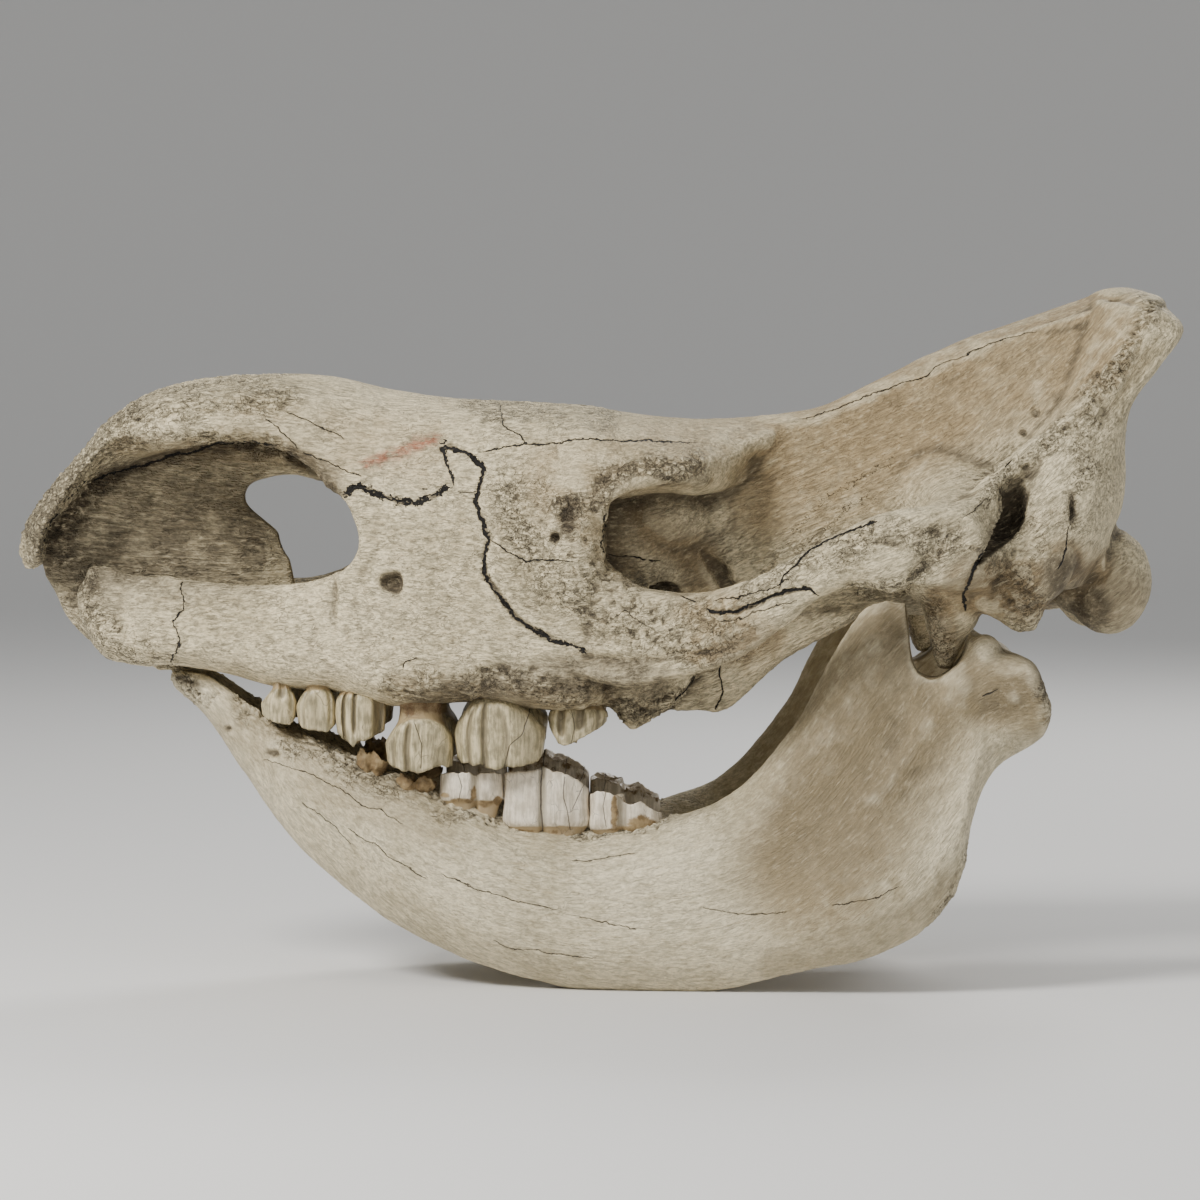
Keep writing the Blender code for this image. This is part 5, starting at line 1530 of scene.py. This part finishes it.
def crown_shell(bm, layer, row):
    """One cheek tooth: root, grooved crown, and a biting face with a raised enamel rim."""
    outer, inner = row["reach"]
    middle_w, half_w = (outer + inner) / 2, (outer - inner) / 2
    edge_u, edge_v = zip(*row["edge"])
    edge_middle = sum(edge_v) / len(edge_v)
    neck_v, neck_front, neck_back = row["neck"]
    belly_v, belly_front, belly_back = row["belly"]
    tip = 0.12 * (neck_back - neck_front)
    root_side = 1.0 if row["root"] > edge_middle else -1.0
    levels = curve_through(
        [
            (row["root"], neck_front + tip, neck_back - tip, 0.62, 0.0),
            (neck_v + 2.5 * root_side, neck_front + 2, neck_back - 2, 0.78, MID_ROOT),
            (neck_v, neck_front, neck_back, 0.88, NECK_SHARE),
            (belly_v, belly_front, belly_back, 1.0, BELLY_SHARE),
            (edge_middle, edge_u[0] + 0.3, edge_u[-1] - 0.3, 0.95, 1.0),
        ],
        CROWN_LEVELS // 4,
    )
    stump = row.get("stump", 0.0)
    rings, told = [], []
    for v, front, back, size, share in levels:
        middle_u, half_u = (front + back) / 2, (back - front) / 2
        late = float(soft_step(0.5, 1.0, share))
        low = 1 - float(soft_step(NECK_SHARE, 0.9, share))
        spread = (belly_back - belly_front) / 2 / half_u
        ring, values = [], []
        for a, b in squircle(CROWN_RING, CROWN_SQUARENESS):
            u = middle_u + half_u * a
            at_belly = (belly_front + belly_back) / 2 + (u - middle_u) * spread
            chip = noise.noise(Vector((u / CHIP_LENGTH, 3 if b > 0 else 9, edge_middle)))
            chip *= 1.3 + 2.0 * stump
            here = v + (float(np.interp(u, edge_u, edge_v)) - edge_middle + chip) * late
            here -= row["arch"] * root_side * a * a * low
            w = middle_w + half_w * size * b
            face = float(soft_step(0.3, 0.8, b))
            valley = 0.0
            for at, wide, depth, high, ends in row["grooves"]:
                begun = soft_step(high - 0.1, high + 0.1, share)
                reached = float(begun * (1 - soft_step(ends - 0.15, ends, share)))
                valley = max(valley, depth * math.exp(-(((at_belly - at) / wide) ** 2)) * reached)
            valley *= face
            w -= valley
            w += 2.4 * math.exp(-(((u - middle_u) / 4.0) ** 2)) * float(soft_step(0.35, 0.95, -b)) * late
            ring.append((u, here, w))
            brown = brown_at(u, here) if b > 0 else 0.45 * late
            values.append((share, valley, max(stump, brown)))
        rings.append(ring)
        told.append(values)
    last = np.array(rings[-1])
    heart = last.mean(axis=0)
    for scale, depth, brown in BITING_FACE:
        inset = heart + (last - heart) * (scale, 1.0, scale)
        inset[:, 1] = last[:, 1] + root_side * depth / PIXEL * MM
        rings.append([tuple(p) for p in inset])
        told.append([(1.0, 0.4, max(stump, brown))] * CROWN_RING)
    places = []
    for ring in rings:
        row_places = []
        for p in ring:
            place = spot(*p)
            rough = noise.noise_vector(place / CROWN_GRAIN) * (0.9 * stump + 0.12) * MM
            row_places.append(place + rough)
        places.append(row_places)
    skin(bm, places, layer, [[Vector(value) for value in values] for values in told])


def mark_crown(mesh):
    """Stores how far each point of a crown lies from the nearest split."""
    places, _ = mesh_arrays(mesh)
    points = picture_points(places)
    signed, half = np.full(len(points), FAR_OFF), np.full(len(points), NO_SEAM)
    ragged = np.zeros(len(points))
    for width, jag, path in CROWN_SPLITS:
        off, along = path_distance(points, path)
        off *= PIXEL / MM
        closer = np.abs(off) < np.abs(signed)
        signed[closer] = off[closer]
        half[closer] = np.where(((along <= 0) | (along >= 1)) & (np.abs(off) > 2), NO_SEAM, width)[closer]
        ragged[closer] = jag
    put_vectors(mesh, "split", signed, half, ragged)


def build_teeth(rows, upper, look):
    """The crowns of one row of teeth on both sides."""
    noise.seed_set(CROWN_SEED)
    finish = enamel_finish("upper_enamel" if upper else "lower_enamel", look)
    jaw = "upper" if upper else "lower"
    for name, row in rows.items():
        for side in ("left", "right"):
            bm = bmesh.new()
            layer = bm.verts.layers.float_vector.new("crown")
            crown_shell(bm, layer, row)
            if side == "right":
                bmesh.ops.scale(bm, vec=(1, -1, 1), verts=bm.verts)
            made = object_from(bm, f"{jaw}_{side}_{name}_crown")
            mark_crown(made.data)
            finish_piece(made, finish, f"{jaw}_{side}_{name}")


def soft_light(name, place, aim, size, watts, colour):
    """A round area light that points at a place."""
    light = bpy.data.lights.new(name, "AREA")
    light.shape = "DISK"
    light.size = size
    light.energy = watts
    light.color = colour
    lamp = bpy.data.objects.new(name, light)
    lamp.location = place
    lamp.rotation_euler = (Vector(aim) - Vector(place)).to_track_quat("-Z", "Y").to_euler()
    bpy.context.scene.collection.objects.link(lamp)


def build_stage(look):
    """A pale floor, soft lights and the camera at the side view's angle."""
    bm = bmesh.new()
    rim = bmesh.ops.create_circle(bm, cap_ends=True, segments=FLOOR_SIDES, radius=look.floor_radius)["verts"]
    edges = list({edge for vert in rim for edge in vert.link_edges})
    for step in range(RIM_STEPS):
        grown = bmesh.ops.extrude_edge_only(bm, edges=edges)["geom"]
        verts = [part for part in grown if isinstance(part, bmesh.types.BMVert)]
        edges = [part for part in grown if isinstance(part, bmesh.types.BMEdge)]
        angle = math.pi / 2 * (step + 1) / RIM_STEPS
        wide = look.floor_radius + look.wall_height * math.sin(angle)
        for vert in verts:
            flat = vert.co.xy.normalized() * wide
            vert.co = (flat.x, flat.y, look.wall_height * (1 - math.cos(angle)))
    bmesh.ops.recalc_face_normals(bm, faces=bm.faces)
    mesh = bpy.data.meshes.new("studio_floor")
    bm.to_mesh(mesh)
    bm.free()
    mesh.shade_smooth()
    floor = bpy.data.objects.new("studio_floor", mesh)
    bpy.context.scene.collection.objects.link(floor)
    finish = Finish("pale_floor")
    finish.shader.inputs["Base Color"].default_value = look.floor_colour
    finish.shader.inputs["Roughness"].default_value = 0.75
    floor.data.materials.append(finish.material)

    world = bpy.data.worlds.new("studio_air")
    world.use_nodes = True
    air = world.node_tree.nodes["Background"]
    air.inputs["Color"].default_value = look.air_colour
    air.inputs["Strength"].default_value = look.air_strength
    bpy.context.scene.world = world
    aim = (0.0, 0.0, 0.22)
    soft_light("key", (-1.3, -1.3, 1.6), aim, 0.7, look.key_watts, (1.0, 0.985, 0.96))
    soft_light("fill", (1.9, -1.9, 1.1), aim, 1.6, look.key_watts * 0.14, (0.97, 0.98, 1.0))
    soft_light("back", (1.2, 2.2, 2.2), aim, 1.2, look.key_watts * 0.70, (1.0, 0.99, 0.97))

    camera = bpy.data.objects.new("camera", bpy.data.cameras.new("camera"))
    camera.data.lens = look.lens
    camera.data.sensor_width = 36.0
    camera.location = (-CENTRE_SHIFT, -VIEW_DISTANCE, VIEW_HEIGHT)
    camera.rotation_euler = (math.pi / 2 - VIEW_TILT, 0, 0)
    bpy.context.scene.collection.objects.link(camera)
    bpy.context.scene.camera = camera


def colour_of(name, description, default):
    """A colour property."""
    return FloatVectorProperty(
        name=name, description=description, default=(*default, 1.0), size=4, min=0.0, max=1.0, subtype="COLOR"
    )


def share_of(name, description, default):
    """A property from 0 to 1."""
    return FloatProperty(
        name=name, description=description, default=default, min=0.0, max=1.0, subtype="FACTOR")


def length_of(name, description, default):
    """A property in metres."""
    return FloatProperty(
        name=name, description=description, default=default, min=0.0, precision=5, unit="LENGTH")


class CraniumLook(PropertyGroup):
    """Sizes and colours of the cranium."""

    grain: length_of("Mesh grain", "Finest shape kept when the bones are fused", 1.9 * MM)
    triangles: IntProperty(name="Triangles", description="About how many the bone keeps", default=190000)
    unevenness: length_of("Unevenness", "Height of the broad waves in the surface", 0.6 * MM)
    bump: length_of("Fine relief", "Depth of one step of the fine surface grain", 1.4 * MM)
    contrast: share_of("Contrast", "How dark the fine grain's dips are", 0.42)
    coarseness: share_of("Coarseness", "How rough the bone is outside its rough patches", 0.55)
    fibres: share_of("Fibres", "How strongly the fibres of the bone are stained", 0.35)
    roughness: share_of("Roughness", "Dullness of clean bone", 0.46)
    pale: colour_of("Pale bone", "Clean worn bone", (0.80, 0.69, 0.455))
    shade: colour_of("Shaded bone", "Greyer patches of bone", (0.50, 0.425, 0.265))
    # Brown stain colour, which also paints shade where the stain tables lay it on shaded parts
    tan: colour_of("Tan stain", "Warm stain over the temples", (0.35, 0.25, 0.125))
    # Colour of settled grime, and of the painted shade in hollows, sheltered places and shade patches
    dirt_and_shade: colour_of("Dirt", "What has settled in hollows and pores", (0.085, 0.064, 0.038))
    seam: colour_of("Seams", "Inside of the seams and cracks", (0.008, 0.006, 0.004))
    red: colour_of("Red streak", "The rubbed streak on the cheek", (0.36, 0.145, 0.08))


class MandibleLook(PropertyGroup):
    """Sizes and colours of the lower jaw."""

    grain: length_of("Mesh grain", "Finest shape kept when the bones are fused", 1.8 * MM)
    triangles: IntProperty(name="Triangles", description="About how many the bone keeps", default=130000)
    unevenness: length_of("Unevenness", "Height of the broad waves in the surface", 0.45 * MM)
    bump: length_of("Fine relief", "Depth of one step of the fine surface grain", 1.0 * MM)
    contrast: share_of("Contrast", "How dark the fine grain's dips are", 0.27)
    coarseness: share_of("Coarseness", "How rough the bone is outside its rough patches", 0.35)
    fibres: share_of("Fibres", "How strongly the fibres of the bone are stained", 0.45)
    roughness: share_of("Roughness", "Dullness of clean bone", 0.40)
    pale: colour_of("Pale bone", "Clean worn bone", (0.76, 0.67, 0.47))
    shade: colour_of("Shaded bone", "Greyer patches of bone", (0.48, 0.415, 0.27))
    # Brown stain colour, which also paints shade on the jaw's back branch
    tan: colour_of("Tan stain", "Warm stain of the jaw", (0.30, 0.235, 0.13))
    # Colour of settled grime, and of the painted shade in hollows, sheltered places and shade patches
    dirt_and_shade: colour_of("Dirt", "What has settled in hollows and pores", (0.09, 0.07, 0.042))
    seam: colour_of("Cracks", "Inside of the cracks", (0.03, 0.024, 0.016))
    red: colour_of("Red streak", "A rubbed streak, not used on the jaw", (0.30, 0.13, 0.08))


class UpperToothLook(PropertyGroup):
    """Colours of the upper cheek teeth."""

    bump: length_of("Fine relief", "Depth of one step of the fine surface grain", 1.0 * MM)
    roughness: share_of("Roughness", "Dullness of the enamel", 0.32)
    pale: colour_of("Enamel", "Worn yellowish enamel", (0.64, 0.545, 0.335))
    shade: colour_of("Shaded enamel", "Duller streaks", (0.25, 0.213, 0.122))
    # Colour of the grooves: grime and painted shade between the ribs
    groove: colour_of("Grooves", "Dirt between the ribs", (0.115, 0.09, 0.05))
    neck: colour_of("Neck", "Root and cement", (0.38, 0.28, 0.15))
    brown: colour_of("Broken places", "Bare brown tooth", (0.20, 0.125, 0.06))
    crack: colour_of("Cracks", "Fine splits", (0.09, 0.07, 0.045))


class LowerToothLook(PropertyGroup):
    """Colours of the lower cheek teeth."""

    bump: length_of("Fine relief", "Depth of one step of the fine surface grain", 0.4 * MM)
    roughness: share_of("Roughness", "Dullness of the enamel", 0.30)
    pale: colour_of("Enamel", "Chalky off-white enamel", (0.82, 0.735, 0.59))
    shade: colour_of("Shaded enamel", "Duller streaks", (0.50, 0.43, 0.32))
    # Colour of the grooves: grime and painted shade between the lobes
    groove: colour_of("Grooves", "Grey dirt between the lobes", (0.26, 0.22, 0.15))
    neck: colour_of("Neck", "Root and cement", (0.37, 0.27, 0.14))
    brown: colour_of("Broken places", "Bare brown tooth", (0.19, 0.125, 0.055))
    crack: colour_of("Cracks", "Fine splits", (0.10, 0.085, 0.065))


class StageLook(PropertyGroup):
    """Floor, light and lens of the studio."""

    floor_radius: length_of("Floor radius", "Size of the flat part of the floor", 6.0)
    wall_height: length_of("Wall height", "Height of the floor's upturned rim", 3.5)
    floor_colour: colour_of("Floor", "Pale floor", (0.80, 0.79, 0.77))
    air_colour: colour_of("Air", "Colour of the light from all round", (0.86, 0.87, 0.88))
    air_strength: FloatProperty(
        name="Air light", description="Strength of the light from all round", default=0.45)
    key_watts: FloatProperty(
        name="Key light", description="Power of the main light", default=62.0, subtype="POWER")
    lens: FloatProperty(name="Lens", description="Focal length of the camera", default=134.46, subtype="NONE")


class SKULL_OT_cranium(Operator):
    """Builds the cranium with its seams, stains and rough patches"""

    bl_idname = "skull.cranium"
    bl_label = "Cranium"

    def execute(self, context):
        build_cranium(context.scene.skull_cranium)
        return {"FINISHED"}


class SKULL_OT_mandible(Operator):
    """Builds the lower jaw with its cracks"""

    bl_idname = "skull.mandible"
    bl_label = "Lower jaw"

    def execute(self, context):
        build_mandible(context.scene.skull_mandible)
        return {"FINISHED"}


class SKULL_OT_upper_teeth(Operator):
    """Builds the twelve upper cheek teeth"""

    bl_idname = "skull.upper_teeth"
    bl_label = "Upper teeth"

    def execute(self, context):
        build_teeth(UPPER_CROWNS, True, context.scene.skull_upper_teeth)
        return {"FINISHED"}


class SKULL_OT_lower_teeth(Operator):
    """Builds the ten lower cheek teeth, the front ones as broken stumps"""

    bl_idname = "skull.lower_teeth"
    bl_label = "Lower teeth"

    def execute(self, context):
        build_teeth(LOWER_CROWNS, False, context.scene.skull_lower_teeth)
        return {"FINISHED"}


class SKULL_OT_stage(Operator):
    """Sets the floor, the lights and the camera"""

    bl_idname = "skull.stage"
    bl_label = "Stage"

    def execute(self, context):
        build_stage(context.scene.skull_stage)
        return {"FINISHED"}


LOOKS = {
    "skull_cranium": (CraniumLook, SKULL_OT_cranium),
    "skull_mandible": (MandibleLook, SKULL_OT_mandible),
    "skull_upper_teeth": (UpperToothLook, SKULL_OT_upper_teeth),
    "skull_lower_teeth": (LowerToothLook, SKULL_OT_lower_teeth),
    "skull_stage": (StageLook, SKULL_OT_stage),
}


class SKULL_PT_builder(Panel):
    """Lists the skull's pieces with their sizes and colours"""

    bl_label = "Fossil skull"
    bl_space_type = "VIEW_3D"
    bl_region_type = "UI"
    bl_category = "Skull"

    def draw(self, context):
        for name, (look, operator) in LOOKS.items():
            box = self.layout.box()
            box.operator(operator.bl_idname)
            for key in look.__annotations__:
                box.prop(getattr(context.scene, name), key)


def register():
    """Adds the settings, the operators and the panel."""
    for name, (look, operator) in LOOKS.items():
        bpy.utils.register_class(look)
        bpy.utils.register_class(operator)
        setattr(bpy.types.Scene, name, PointerProperty(type=look))
    bpy.utils.register_class(SKULL_PT_builder)


def unregister():
    """Takes away what register added."""
    bpy.utils.unregister_class(SKULL_PT_builder)
    for name, (look, operator) in LOOKS.items():
        delattr(bpy.types.Scene, name)
        bpy.utils.unregister_class(operator)
        bpy.utils.unregister_class(look)


def main():
    """Builds the stage and every piece."""
    register()
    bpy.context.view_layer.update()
    bpy.ops.skull.stage()
    bpy.ops.skull.cranium()
    bpy.ops.skull.mandible()
    bpy.ops.skull.upper_teeth()
    bpy.ops.skull.lower_teeth()


if __name__ == "__main__":
    main()
